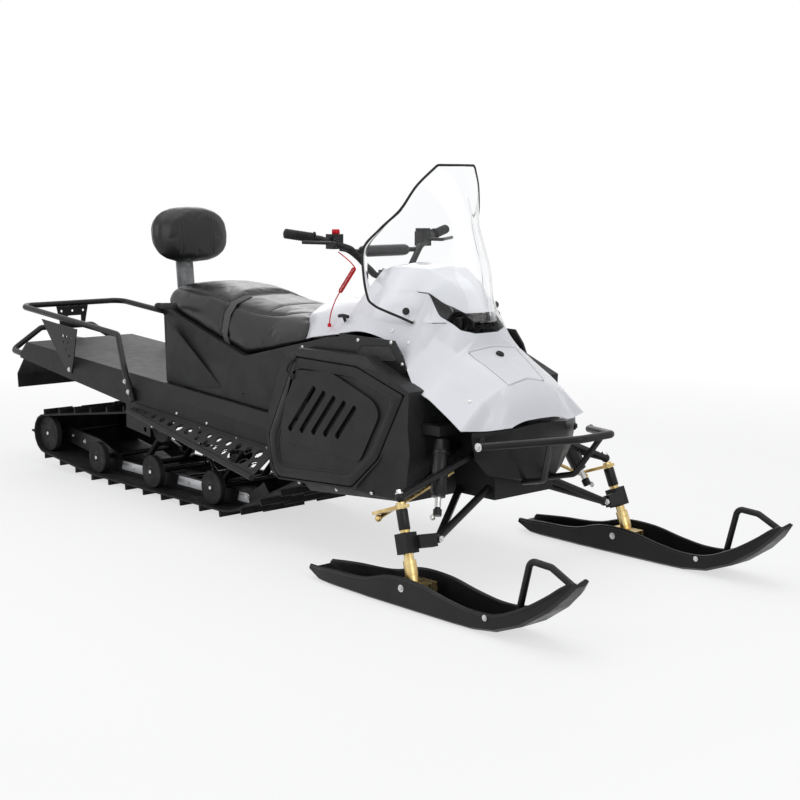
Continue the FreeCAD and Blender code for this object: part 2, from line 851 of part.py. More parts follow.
# Seat base: a plastic box on the tunnel, its sides leaning in towards the seats
deck = "tunnel_top_z + seat_gap - ({x}) * tan(tunnel_rise)"
seat_base = plate_body(
    "seat_base",
    "XZ_Plane",
    [
        ("base_rear_x + base_rear_lean", deck.format(x="base_rear_x + base_rear_lean")),
        ("base_front_x", deck.format(x="base_front_x")),
        ("base_front_x", "base_front_z"),
        ("base_front_x - base_front_flat", "base_front_z"),
        ("base_dip_x", "base_dip_z"),
        ("base_rear_x", "base_rear_z"),
    ],
    "2 * base_half",
)
doc.recompute()
for side in ("-", ""):
    lean = seat_base.newObject("PartDesign::Pocket", "seat_base_lean_" + ("right" if side else "left"))
    lean.Profile = outline_sketch(
        seat_base,
        "YZ_Plane",
        [
            (f"{side}base_half", "base_dip_z - 130"),
            (f"{side}(base_half + 30)", "base_dip_z - 130"),
            (f"{side}(base_half + 30)", "base_rear_z + 20"),
            (f"{side}(base_half - 40)", "base_rear_z + 20"),
        ],
    )
    lean.SideType = "Symmetric"
    lean.Type = "ThroughAll"
keep(seat_base, "seat_base")


def base_top(x):
    """Height of the seat base's top edge at x."""
    dip_x, dip_z = size("base_dip_x"), size("base_dip_z")
    if x < dip_x:
        share = (x - dip_x) / (size("base_rear_x") - dip_x)
        return dip_z + (size("base_rear_z") - dip_z) * share
    share = min((x - dip_x) / (size("base_front_x") - size("base_front_flat") - dip_x), 1)
    return dip_z + (size("base_front_z") - dip_z) * share


def seat_ring(x, top_z, half, grow=0.0):
    """A cushion's section: crowned top, full sides, flat where it rests on the base."""
    low_z = base_top(x) + size("seat_gap")
    rise = top_z - low_z
    outline = [
        (0, top_z + grow),
        (half * 0.55, top_z - rise * 0.02 + grow),
        (half * 0.82 + grow * 0.6, top_z - rise * 0.14 + grow),
        (half * 0.96 + grow, top_z - rise * 0.36 + grow * 0.3),
        (half * 1.04 + grow, low_z + rise * 0.22),
        (half * 0.98 + grow, low_z),
    ]
    return [(x, y, z) for y, z in both_halves(outline)]


def grown(half, grow):
    """Half a section moved outwards and up; its lowest point moves outwards and on down its edge."""
    upper = [(y + (grow if y else 0), z + grow) for y, z in half[:-1]]
    (near_y, near_z), (low_y, low_z) = half[-2:]
    edge = math.hypot(low_y - near_y, low_z - near_z)
    run_y, run_z = (low_y - near_y) / edge, (low_z - near_z) / edge
    onward = grow * (1 + run_y) / -run_z
    return upper + [(low_y - grow * run_z + onward * run_y, low_z + grow * run_y + onward * run_z)]


def console_rings(grow=0.0):
    """Sections of the console over the tank; grow widens them for a clearance cut."""
    stations = [
        (size("console_rear_x") - grow, [(0, 797), (22, 795), (36, 772), (40, 700)]),
        (250, [(0, 835), (100, 830), (180, 790), (205, 706)]),
        (340, [(0, 850), (120, 845), (210, 795), (250, 722)]),
        (size("console_front_x"), [(0, 868), (140, 857), (235, 800), (280, 750)]),
    ]
    return [[(x, y, z) for y, z in both_halves(grown(half, grow))] for x, half in stations]


def opened(rings, wall, depth=400):
    """The solid inside a shell: the rings moved in by the wall and carried down past the open bottom."""
    inner = []
    for k, ring in enumerate(rings):
        x = ring[0][0] + (wall if k == 0 else -wall)
        tucked = [(x, y - math.copysign(min(wall, abs(y)), y) if y else 0, z - wall) for _, y, z in ring]
        low = min(z for _, _, z in ring) - depth
        inner.append([(x, tucked[0][1], low)] + tucked + [(x, tucked[-1][1], low)])
    return loft(inner)


# Seats: two cushions, the passenger's a step higher
driver_rings = [
    (size("seat_split_x") + size("seat_gap"), 824, size("seat_half")),
    (-100, 806, size("seat_half") + 5),
    (60, 788, size("seat_half")),
    (180, 793, size("seat_half") + 5),
    (size("base_front_x") - size("base_front_flat"), 799, size("seat_half") + 10),
    (size("seat_front_x"), 800, size("seat_half") + 10),
]
driver_seat = loft([seat_ring(x, z, half) for x, z, half in driver_rings])
driver_seat = driver_seat.cut(loft(console_rings(size("seat_gap"))))
driver_seat = max(driver_seat.Solids, key=lambda solid: solid.Volume)
shape_piece("driver_seat", driver_seat)
passenger_rings = [
    (size("seat_rear_x"), 818, size("seat_half") - 45),
    (size("seat_rear_x") + 45, 850, size("seat_half") - 20),
    (-510, 859, size("seat_half") - 8),
    (-360, 852, size("seat_half")),
    (size("seat_split_x"), 834, size("seat_half") + 4),
]
shape_piece("passenger_seat", loft([seat_ring(x, z, half) for x, z, half in passenger_rings]))


# Seat strap: webbing over the driver's cushion, at the foot of the passenger's
def between_rings(x):
    """Top height and half width of the driver's cushion at x, near its rear end."""
    (rear_x, rear_top, rear_half), (next_x, next_top, next_half) = driver_rings[:2]
    share = (x - rear_x) / (next_x - rear_x)
    return rear_top + (next_top - rear_top) * share, rear_half + (next_half - rear_half) * share


def seat_strap():
    near = size("seat_split_x") + 4
    skins = []
    for grow in (size("seat_gap"), size("seat_gap") + size("strap_gauge")):
        rings = [seat_ring(x, *between_rings(x), grow) for x in (near, near + size("strap_width"))]
        skins.append(loft(rings))
    return skins[1].cut(skins[0])


shape_piece("seat_strap", seat_strap())


# Backrest: a padded oval on a flat steel post
def backrest_pad():
    x, z = size("pad_x"), size("pad_z")
    half, height, thick = size("pad_half"), size("pad_height"), size("pad_thick")
    rings = []
    levels = ((-0.5, 0.62), (-0.3, 0.9), (0.0, 1.0), (0.3, 0.92), (0.5, 0.66))
    for step, (share, shrink) in enumerate(levels):
        ring = []
        for k in range(20):
            angle = 2 * math.pi * k / 20
            c, s = math.cos(angle), math.sin(angle)
            y = half * shrink * math.copysign(abs(c) ** 0.75, c)
            up = height / 2 * shrink * math.copysign(abs(s) ** 0.75, s)
            ring.append((x + thick * share - size("pad_lean") * up, y, z + up))
        rings.append(ring)
    return loft(rings)


pad = backrest_pad()
shape_piece("backrest_pad", pad)


def pad_back(z):
    """The pad's flat back at height z, less a gap."""
    back = size("pad_x") - size("pad_thick") / 2 - size("seat_gap")
    return back - size("pad_lean") * (z - size("pad_z"))


def base_back(z):
    """The seat base's rear wall at height z, less a gap."""
    lean, rear_x, rear_z = size("base_rear_lean"), size("base_rear_x"), size("base_rear_z")
    foot_z = tunnel_z(rear_x + lean) + size("seat_gap")
    return rear_x + lean * (rear_z - z) / (rear_z - foot_z) - size("seat_gap")


post_line = [(base_back(640), 640), (base_back(738), 738), (-770, 806), (pad_back(900), 900),
             (pad_back(1065), 1065)]
post = prism(
    post_line + [(x - size("post_gauge"), z) for x, z in reversed(post_line)],
    -size("post_width") / 2,
    size("post_width") / 2,
)
shape_piece("backrest_post", post)


# Grab handles: short rubber-covered bars beside the passenger
def grab_handle():
    y, z = -size("base_half") - 8, size("base_rear_z") + 8
    rear_x = size("base_rear_x")
    return tube([(rear_x + 27, -200, z - 40), (rear_x + 18, y, z - 6), (rear_x + 158, y, z + 4)], 13, 24)


doc.recompute()
grab = grab_handle().cut(seat_base.Shape)
grab = max(grab.Solids, key=lambda solid: solid.Volume)
shape_piece("grab_handles", pair(grab))


# Hood: a white shell from the console to the nose, with the dome for the dials and the lamp
def hood_rings(grow=0.0):
    stations = [
        (size("console_front_x") + 0.5, [(0, 965), (80, 957), (160, 885), (240, 806), (283, 752)]),
        (620, [(0, 980), (103, 970), (180, 882), (245, 812), (278, 766)]),
        (735, [(0, 976), (85, 966), (143, 885), (228, 790), (255, 741)]),
        (790, [(0, 958), (72, 945), (134, 893), (196, 803), (250, 702)]),
        (850, [(0, 925), (58, 908), (158, 757), (200, 715), (278, 658)]),
        (885, [(0, 886), (60, 862), (154, 739), (200, 692), (285, 616)]),
        (912, [(0, 835), (56, 812), (150, 722), (198, 676), (288, 600)]),
        (932, [(0, 764), (54, 758), (147, 708), (197, 666), (292, 592)]),
        (948, [(0, 726), (112, 716), (146, 700), (196, 658), (298, 590)]),
        (1020, [(0, 684), (99, 672), (134, 662), (186, 626), (268, 537)]),
        (1098, [(0, 640), (84, 624), (110, 612), (176, 586), (224, 500)]),
        (1140, [(0, 588), (84, 574), (140, 560), (192, 528), (210, 506)]),
        (1165, [(0, 548), (80, 540), (120, 534), (150, 526), (164, 516)]),
    ]
    return [[(x, y, z) for y, z in both_halves(grown(half, grow))] for x, half in stations]


# Lower body: a plastic tub round the engine, with a door opening in each side
PANEL_OUTLINE = [(371, 668), (681, 663), (911, 593), (788, 373), (660, 263), (271, 239), (233, 284),
                 (219, 388), (341, 620)]
BODY_OUTLINE = [(206, 224), (184, 383), (296, 643), (356, 691), (701, 694), (930, 603), (925, 493),
                (935, 405), (908, 312), (900, 250), (256, 187)]


def tub_skin(wall):
    """The tub's section as a solid along X, less a wall thickness."""
    half = size("body_half") - wall
    outline = [(half - 75, 187 + wall), (half - 20, 250 + wall * 0.5), (half, 400), (half, 660),
               (half - 45, 730)]
    face = Part.Face(ring_of([(200, y, z) for y, z in [(-y, z) for y, z in reversed(outline)] + outline]))
    return face.extrude(Vector(820, 0, 0))


def resized(outline, gap):
    """The outline's face in the side view, moved inwards by gap, or outwards where gap is negative."""
    face = Part.Face(ring_of([(x, 0, z) for x, z in outline]))
    return Part.Face(face.makeOffset2D(-gap, 2).Wires[0])


def slab(face, low_y, high_y):
    """A face of the side view as a solid between two depths."""
    moved = face.copy()
    moved.translate(Vector(0, low_y, 0))
    return moved.extrude(Vector(0, high_y - low_y, 0))


def door_lip():
    """The collar round the right door's opening, with the lip that the closed door rests on."""
    rest_y = -size("body_half") - size("panel_out") + size("panel_thick") + size("seat_gap")
    rim, lip = resized(PANEL_OUTLINE, -6), resized(PANEL_OUTLINE, size("lip_width"))
    collar = slab(rim.cut(resized(PANEL_OUTLINE, 0)), -size("body_half"), rest_y + 16)
    return collar.fuse(slab(rim.cut(lip), rest_y, rest_y + size("body_wall")))


def lower_body():
    wall, half = size("body_wall"), size("body_half")
    front_x = size("tub_front_x")
    outside = tub_skin(0).common(prism(BODY_OUTLINE, -half - 1, half + 1))
    inside = tub_skin(wall).common(slab(resized(BODY_OUTLINE, wall), -half, half))
    front_wall = outside.common(block((front_x - wall, -half + 60, 0), (front_x, half - 60, 640)))
    tub = outside.cut(inside).fuse(front_wall)
    tub = tub.cut(block((150, -inner_wall - 8, 0), (size("tunnel_front_x") + 4, inner_wall + 8, 900)))
    tub = tub.cut(block((front_x, -size("tub_front_half"), 0), (1100, size("tub_front_half"), 900)))
    tub = tub.cut(block((150, -half + 62, 640), (1100, half - 62, 900)))
    opening = prism(PANEL_OUTLINE, -600, -half + 62)
    tub = tub.cut(opening).cut(mirrored(opening))
    tub = tub.multiFuse([door_lip(), mirrored(door_lip())])
    for board in doc.getObject("running_boards").Shape.Solids:
        tub = tub.cut(board)
    return tub.cut(loft(hood_rings(size("hood_gap"))))


def side_panel():
    """The right side's door: a flat panel with five slanted slots."""
    y, thick = -size("body_half") - size("panel_out"), size("panel_thick")
    panel = slab(resized(PANEL_OUTLINE, size("door_gap")), y, y + thick)
    lean = Vector(142, 0, 164).normalize()
    across = Vector(lean.z, 0, -lean.x) * (size("slot_width") / 2)
    for k in range(5):
        low = Vector(338 + k * 62, y, 412 + k * 1.5)
        high = low + lean * size("slot_length") * (1 - 0.075 * k)
        slot = Part.Face(ring_of([low - across, low + across, high + across, high - across]))
        panel = panel.cut(slot.extrude(Vector(0, thick, 0)))
    return panel


shape_piece("lower_body", lower_body())
panel = side_panel()
shape_piece("side_panel_right", panel)
shape_piece("side_panel_left", mirrored(panel))

# Engine: one plain block at its real place and size, on the tub's floor
(floor_front_x, floor_front_z), (floor_rear_x, floor_rear_z) = BODY_OUTLINE[-2:]
floor_slope = (floor_front_z - floor_rear_z) / (floor_front_x - floor_rear_x)
engine_low_z = floor_rear_z + (size("engine_front_x") - floor_rear_x) * floor_slope
engine_low_z += size("body_wall") * math.hypot(1, floor_slope) + size("seat_gap")
shape_piece("engine_block", block((size("engine_rear_x"), -size("engine_half"), engine_low_z),
                                  (size("engine_front_x"), size("engine_half"), size("engine_top_z"))))


# Intake panels: the black pieces between the hood and the side panels
def intake_panel():
    half = size("body_half") - 62 - size("seat_gap")
    outline = [(236, 680), (461, 735), (522, 741), (530, 753), (790, 748), (828, 703), (849, 658),
               (845, 645), (236, 645)]
    return prism(outline, -half, -half + 8).cut(loft(hood_rings(size("hood_gap"))))


shape_piece("intake_panels", pair(intake_panel()))


# Hood, hatch and lamp
def shell(rings, wall):
    """A shell of the rings, open at the bottom."""
    return loft(rings).cut(opened(rings, wall))


def hatch_prism(gap):
    """The hatch's outline from above, less a gap, as a solid through the hood."""
    xa, ya = size("hatch_top_x"), -size("hatch_top_half")
    xb, yb = size("hatch_low_x"), -size("hatch_low_half")
    corners = [(xa + gap, ya + gap), (xb - gap, yb + gap), (xb - gap, -yb - gap), (xa + gap, -ya - gap)]
    return Part.Face(ring_of([(x, y, 500) for x, y in corners])).extrude(Vector(0, 0, 500))


LAMP_OUTLINE = [(0, 764), (54, 766), (100, 778), (127, 822), (137, 898), (104, 862), (70, 830), (0, 830)]


def lamp_window(gap):
    """The swept lamp's outline from the front, less a gap, as a solid along X."""
    outline = both_halves(LAMP_OUTLINE[1:-1])
    face = Part.Face(ring_of([(740, y, z) for y, z in outline]))
    if gap:
        face = Part.Face(face.makeOffset2D(-gap, 2).Wires[0])
    return face.extrude(Vector(240, 0, 0))


def hatch_lip():
    """The lip under the hatch's edge, joined to the hood's underside round it."""
    wall, gap = size("hood_wall"), size("seat_gap")
    room = hatch_prism(-size("lip_width") / 2)
    low = room.common(opened(hood_rings(), wall + gap + 3))
    rest = room.common(opened(hood_rings(), wall + gap)).cut(low)
    joint = room.common(opened(hood_rings(), wall - 1)).cut(low).cut(hatch_prism(0))
    swing = block((size("hatch_low_x") - 3 * size("lip_width"), -300, 500), (1200, 300, 900))
    return rest.fuse(joint).cut(hatch_prism(size("lip_width"))).cut(swing).cut(lamp_window(0))


hood_solid = loft(hood_rings())
hood = shell(hood_rings(), size("hood_wall"))
lens = hood.common(lamp_window(size("seat_gap")))
hood = hood.cut(lamp_window(0))
rake = math.radians(size("column_rake"))
column_up = Vector(-math.sin(rake), 0, math.cos(rake))
column_foot = Vector(size("column_x"), 0, size("column_z"))
column_bore = size("column_radius") + size("shaft_gap")
column_hole = Part.makeCylinder(column_bore, 300, column_foot - column_up * 200, column_up)
console = shell(console_rings(), size("hood_wall")).cut(column_hole)
hatch = hood.common(hatch_prism(size("hatch_gap")))
hood = hood.cut(hatch_prism(0)).fuse(hatch_lip())
console = console.fuse(block((439, -272, 744), (459, -250, 766))).removeSplitter()
shape_piece("console", console)
shape_piece("hood", hood)
shape_piece("hood_hatch", hatch)
shape_piece("headlight_lens", lens)
lamp = block((850, -105, 772), (960, 105, 816)).common(
    opened(hood_rings(), size("hood_wall") + size("seat_gap"))
)
shape_piece("headlight_unit", lamp)


# Windshield: a clear sheet bent round the dome, taller in the middle
def windshield():
    rings = []
    gauge = size("screen_gauge")
    for z, center_x, side_x, half in ((800, 944, 795, 202), (868, 928, 659, 270), (950, 906, 650, 284),
                                      (1033, 882, 632, 268), (1097, 862, 661, 220), (1155, 846, 708, 180),
                                      (1233, 823, 744, 140), (1299, 800, 781, 83)):
        ring = []
        for reach in (0, -gauge):
            arc = []
            for k in range(-5, 6):
                share = k / 5
                sweep_back = (center_x - side_x) * abs(share) ** size("screen_point")
                arc.append((center_x - sweep_back + reach, (half + reach) * share, z))
            ring += arc if reach == 0 else list(reversed(arc))
        rings.append(ring)
    return loft(rings)


screen = windshield()
screen = screen.cut(loft(hood_rings(size("hood_gap"))))
screen = max(screen.Solids, key=lambda solid: solid.Volume)
shape_piece("windshield", screen)


# Nose cover: the black front under the hood's lip
def nose_cover():
    rings = [
        [(x, y, z) for y, z in both_halves(half)]
        for x, half in [
            (1100, [(0, 495), (240, 488), (242, 470), (225, 400), (170, 345), (0, 300)]),
            (1130, [(0, 495), (200, 488), (205, 470), (185, 400), (140, 340), (0, 300)]),
            (1162, [(0, 500), (122, 494), (130, 470), (110, 400), (80, 330), (0, 304)]),
        ]
    ]
    outer = loft(rings)
    inner = loft([
        [(x - size("nose_wall"), y * 0.965, z - (size("nose_wall") if z > 400 else -size("nose_wall")))
         for _, y, z in ring]
        for x, ring in zip((1096, 1130, 1162), rings)
    ])
    return outer.cut(inner)


shape_piece("nose_cover", nose_cover().cut(hood_solid))

# Front frame: the bulkhead that carries the arms, the shocks and the bumper
frame_rear = size("tub_front_x") + size("seat_gap")
frame_half, frame_top = size("frame_half"), size("frame_top_z")
front_frame = block((frame_rear, -frame_half, 262), (1100 - size("seat_gap"), frame_half, frame_top))
front_frame = front_frame.fuse(block((frame_rear, -290, frame_top), (1010, 290, frame_top + 30)))
front_frame = front_frame.cut(hood_solid).cut(doc.getObject("lower_body").Shape).removeSplitter()
shape_piece("front_frame", front_frame)


# Front bumper: an upper bar and a lower hoop of bent tube
def front_bumper():
    radius = size("bumper_tube")
    upper = tube([(1150, -252, 452), (1392, -70, 486), (1392, 70, 486), (1150, 252, 452)], radius, 30)
    hoop = tube([(1318, -124, 474), (1246, -72, 340), (1150, -60, 318)], radius * 0.8, 25)
    return upper.multiFuse([hoop, mirrored(hoop)]).removeSplitter()


nose_shape = doc.getObject("nose_cover").Shape
bumper = front_bumper().cut(nose_shape)
shape_piece("front_bumper", max(bumper.Solids, key=lambda solid: solid.Volume))


# Front suspension: arms, spindle housings and shocks, right side first and mirrored
kingpin_up = Vector(
    -math.tan(math.radians(size("kingpin_rake"))), math.tan(math.radians(size("kingpin_lean"))), 1
).normalize()
housing = Vector(size("housing_x"), -size("ski_half_stance") - size("housing_out"), size("housing_z"))
ski_pivot = Vector(size("housing_x") + size("pivot_ahead"), -size("ski_half_stance"), size("ski_pivot_z"))
tab_place = housing + Vector(28, 52, 4)


def on_kingpin(z):
    """The point of the right kingpin's axis at height z."""
    return housing + kingpin_up * ((z - housing.z) / kingpin_up.z)


def turned_block(center, long, up, spans):
    """A box centred on a point, its first edge along long and its last along up."""
    up = Vector(up).normalize()
    across = up.cross(Vector(long)).normalize()
    along = across.cross(up)
    turn = Rotation(along, across, up, "ZXY")
    box = Part.makeBox(*spans, Vector(-spans[0] / 2, -spans[1] / 2, -spans[2] / 2))
    box.Placement = Placement(Vector(*center), turn)
    return box


def spindle_housing():
    """The box that the spindle turns in, with the tab to the lower arm."""
    span = size("housing_span")
    box = turned_block(housing, (1, 0, 0), kingpin_up, (span, span, size("housing_height")))
    tab = turned_block(tab_place, (0, 1, 0), kingpin_up, (size("tab_length"), 26, 40))
    whole = box.fuse(tab)
    bore = size("spindle_radius") + size("shaft_gap")
    core = Part.makeCylinder(bore, 400, housing - kingpin_up * 200, kingpin_up)
    return whole.cut(core).removeSplitter()


lower_joint = tab_place + Vector(0, size("tab_length") / 2 + size("seat_gap"), 0)
upper_joint = on_kingpin(size("spindle_top_z")) + kingpin_up * (size("ball_radius") + size("seat_gap"))


def a_arm(outer, pivots, radius, end_radius):
    """Two tubes from an outer joint to the frame's pivots."""
    legs = [rod(tuple(outer), pivot, radius) for pivot in pivots]
    return legs[0].multiFuse(legs[1:] + [Part.makeSphere(end_radius, Vector(*outer))]).removeSplitter()


frame_y = -size("frame_half") - size("seat_gap")
upper_pivots = [(1082, frame_y, 438), (940, frame_y, 418)]
lower_pivots = [(1070, frame_y, 296), (945, frame_y, 278)]
upper_arm = a_arm(upper_joint, upper_pivots, size("upper_tube"), size("ball_radius"))
lower_arm = a_arm(lower_joint + Vector(0, 16, 0), lower_pivots, size("lower_tube"), 15)
clear_frame = block((800, frame_y, 200), (1200, -frame_y, 600))
upper_arm = upper_arm.cut(clear_frame)
lower_arm = lower_arm.cut(clear_frame).cut(spindle_housing())
shape_piece("front_arms", Part.Compound([upper_arm, mirrored(upper_arm), lower_arm, mirrored(lower_arm)]))
shape_piece("spindle_housings", pair(spindle_housing()))
shock_low = lower_joint + Vector(-42, 50.7, 52)
shock_seat_z = size("frame_top_z") - size("seat_gap")
shock_top = Vector(993, -262, shock_seat_z)
front_shock = shock(tuple(shock_top), tuple(shock_low), size("shock_radius")).cut(lower_arm)
front_shock = front_shock.cut(block((900, -400, shock_seat_z), (1100, 0, 600)))
front_shock = max(front_shock.Solids, key=lambda solid: solid.Volume)
shape_piece("shocks", Part.Compound([front_shock, mirrored(front_shock)] + track_shocks()))


# Spindles: shaft, steering arm and zinc leg that turn together in the housing
def spindle():
    shaft = rod(tuple(on_kingpin(size("leg_low_z"))), tuple(on_kingpin(size("spindle_top_z"))),
                size("spindle_radius"))
    leg = rod(tuple(on_kingpin(size("leg_low_z"))), tuple(on_kingpin(size("leg_top_z"))),
              size("spindle_radius") + 5)
    back = Vector(0, 1, 0).cross(kingpin_up).normalize() * -1
    arm_z = size("spindle_top_z") - 12
    arm = turned_block(on_kingpin(arm_z) + back * (size("arm_reach") / 2 - 6), (1, 0, 0), kingpin_up,
                       (size("arm_reach") + 30, 26, 10))
    reach = Vector(0, size("foot_half"), 0)
    foot = block(ski_pivot - reach - Vector(45, 0, 14), ski_pivot + reach + Vector(60, 0, 16))
    whole = shaft.multiFuse([leg, arm, foot])
    bore = size("ski_pin") + size("shaft_gap")
    pin_hole = Part.makeCylinder(bore, 200, ski_pivot - Vector(0, 100, 0), Vector(0, 1, 0))
    return whole.cut(pin_hole).removeSplitter(), on_kingpin(arm_z) + back * size("arm_reach")


right_spindle, arm_eye = spindle()
shape_piece("spindle_right", right_spindle)
shape_piece("spindle_left", mirrored(right_spindle))


# Skis: a channel of black plastic with an upturned tip and a loop to lift it by
def ski_outline():
    """Stations of the ski: x, sole height, side wall height, half width."""
    tail, tip = size("ski_tail_x"), size("ski_tip_x")
    tip_z, half = size("ski_tip_z"), size("ski_half_width")
    return [
        (tail, 22, 40, half * 0.72),
        (tail + 60, 2, 44, half * 0.86),
        (tail + 110, 0, 48, half * 0.9),
        (ski_pivot.x - 150, 0, 62, half),
        (ski_pivot.x - 60, 0, 86, half),
        (ski_pivot.x + 70, 0, 88, half),
        (ski_pivot.x + 200, 0, 66, half),
        (tip - 345, 2, 56, half),
        (tip - 255, 14, 62, half * 0.98),
        (tip - 165, 48, 96, half * 0.9),
        (tip - 75, 108, 150, half * 0.76),
        (tip - 25, 155, 186, half * 0.62),
        (tip, 186, tip_z, half * 0.45),
    ]


def ski():
    floor, wall = size("ski_floor"), size("ski_wall")
    rings = []
    for x, low, top, half in ski_outline():
        deep = min(floor, (top - low) * 0.6)
        section = [(0, low), (half - 14, low), (half, low + 9), (half - 3, top), (half - 3 - wall, top),
                   (half - 5 - wall, low + deep), (0, low + deep)]
        right = [(-y, z) for y, z in reversed(section)]
        closed_ring = section + [p for p in right if p[0] < 0]
        rings.append([(x, y - size("ski_half_stance"), z) for y, z in closed_ring])
    hull = loft(rings)
    pin_half = Vector(0, size("ski_half_width") - 4, 0)
    pin = rod(ski_pivot - pin_half, ski_pivot + pin_half, size("ski_pin"))
    y, tip = -size("ski_half_stance"), size("ski_tip_x")
    loop = tube([(tip - 330, y, 12), (tip - 222, y, 66), (tip - 182, y, 222), (tip - 105, y, 218),
                 (tip - 20, y, 178)], size("loop_tube"), 24)
    return hull.multiFuse([pin, loop]).removeSplitter()


right_ski = ski()
shape_piece("ski_right", right_ski)
shape_piece("ski_left", mirrored(right_ski))

# Tie rods: from the steering rack in the front frame to each steering arm
rack_end = Vector(size("rack_x"), frame_y, size("rack_z"))
eye = arm_eye - kingpin_up * (5 + size("tie_ball") + size("tie_gap"))
tie = rod(tuple(rack_end - Vector(0, size("steer_room"), 0)), tuple(eye), size("tie_radius"))
tie = tie.fuse(Part.makeSphere(size("tie_ball"), eye))
shape_piece("tie_rod_right", tie)
shape_piece("tie_rod_left", mirrored(tie))


# Handlebar: bent bar with grips, levers and switch boxes on the column's riser
def handlebar():
    radius = size("bar_radius")
    half = size("grip_end_y")
    right = [(350, -half, 1076), (398, -255, 1056), (440, -160, 1022), (466, -74, 930)]
    bar = tube(right + [(x, -y, z) for x, y, z in reversed(right)], radius, 32)
    cross = rod((430, -148, 1012), (430, 148, 1012), radius * 0.8)
    riser = Part.makeCylinder(size("column_radius"), 120, column_foot - column_up * 80, column_up)
    clamp = block((445, -40, 912), (497, 40, 948))
    return bar.multiFuse([cross, riser, clamp]).removeSplitter()


def grip(side):
    """A rubber sleeve on the bar's end."""
    outer = Vector(349, side * (size("grip_end_y") + 3), 1076.5)
    inner = Vector(389, side * 276, 1060)
    return Part.makeCylinder(size("grip_radius"), (inner - outer).Length, outer, inner - outer)


def bar_controls(side):
    """The switch box or brake master beside a grip, with its lever in front of it."""
    box = block((388, min(side * 182, side * 226), 1022), (428, max(side * 182, side * 226), 1072))
    lever = tube([(416, side * 212, 1046), (458, side * 250, 1044), (410, side * 345, 1048)], 6, 15)
    return box.fuse(lever).removeSplitter()


bar = handlebar()
grips = [grip(-1), grip(1)]
for sleeve in grips:
    bar = bar.cut(sleeve)
boxes = [bar_controls(side).cut(bar) for side in (-1, 1)]
shape_piece("handlebar", bar)
shape_piece("handlebar_grips", Part.Compound(grips))
shape_piece("handlebar_controls", Part.Compound(boxes))


# Tether: a red cord from under the right switch box to a boss on the console, coiled along its middle
COIL_ENDS = [(540, -228, 966), (462, -228, 880)]
CORD_UPPER = [(430, -206, 1012), (449, -209, 1006), (492, -220, 992), (528, -229, 979), COIL_ENDS[0]]
CORD_LOWER = [COIL_ENDS[1], (449, -231, 862), (446, -248, 826), (450, -262, 792), (449, -262, 766)]


def bend_radii(points):
    """The arc radius at each inner point: 0.45 of the shorter run over the tangent of half the turn."""
    radii = []
    for before, corner, after in zip(points, points[1:], points[2:]):
        into, out = Vector(*corner) - Vector(*before), Vector(*after) - Vector(*corner)
        radii.append(0.45 * min(into.Length, out.Length) / math.tan(into.getAngle(out) / 2))
    return radii


coil = rod(*COIL_ENDS, size("coil_radius"))
cord_runs = []
for route in (CORD_UPPER, CORD_LOWER):
    radii = bend_radii(route)
    print("cord radii", [round(radius, 1) for radius in radii])
    cord_runs.append(tube(route, size("cord_radius"), radii).cut(coil))
shape_piece("tether_cord", Part.Compound(cord_runs))
shape_piece("tether_coil", coil)


doc.recompute()
faults = [obj.Name for obj in doc.Objects if "Invalid" in obj.State or "Error" in obj.State]
faults += [piece.Label for piece in pieces if piece.Shape.isNull() or not piece.Shape.isValid()]
if faults:
    raise RuntimeError("these pieces failed: " + ", ".join(faults))
os.makedirs("parts", exist_ok=True)
for piece in pieces:
    piece.Shape.exportStep(f"parts/{piece.Label}.step")
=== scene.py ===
import json
import math

import bmesh
import bpy
import numpy as np
from mathutils import Matrix, Vector
from mathutils.bvhtree import BVHTree

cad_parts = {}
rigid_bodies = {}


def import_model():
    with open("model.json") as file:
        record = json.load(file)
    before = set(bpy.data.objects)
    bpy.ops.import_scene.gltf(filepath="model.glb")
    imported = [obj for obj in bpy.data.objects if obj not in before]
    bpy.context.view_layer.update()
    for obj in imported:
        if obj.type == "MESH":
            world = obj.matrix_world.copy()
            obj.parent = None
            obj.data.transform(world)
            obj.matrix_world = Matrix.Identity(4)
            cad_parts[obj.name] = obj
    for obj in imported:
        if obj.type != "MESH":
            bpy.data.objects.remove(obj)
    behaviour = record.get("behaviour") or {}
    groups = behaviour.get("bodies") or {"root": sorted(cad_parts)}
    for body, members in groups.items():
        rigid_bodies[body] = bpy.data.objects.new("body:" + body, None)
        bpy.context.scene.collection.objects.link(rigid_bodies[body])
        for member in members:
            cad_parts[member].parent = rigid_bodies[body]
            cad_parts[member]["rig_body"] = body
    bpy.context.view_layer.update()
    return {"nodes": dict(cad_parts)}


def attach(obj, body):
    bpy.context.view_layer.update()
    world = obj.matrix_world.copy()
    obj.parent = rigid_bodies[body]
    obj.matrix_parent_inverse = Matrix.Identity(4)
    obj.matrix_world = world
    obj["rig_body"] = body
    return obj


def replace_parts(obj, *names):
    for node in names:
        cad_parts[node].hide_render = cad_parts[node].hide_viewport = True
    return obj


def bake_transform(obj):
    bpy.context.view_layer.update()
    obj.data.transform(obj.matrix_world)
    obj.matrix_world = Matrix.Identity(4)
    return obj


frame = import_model()
scene = bpy.context.scene
scene.view_settings.view_transform = "Standard"

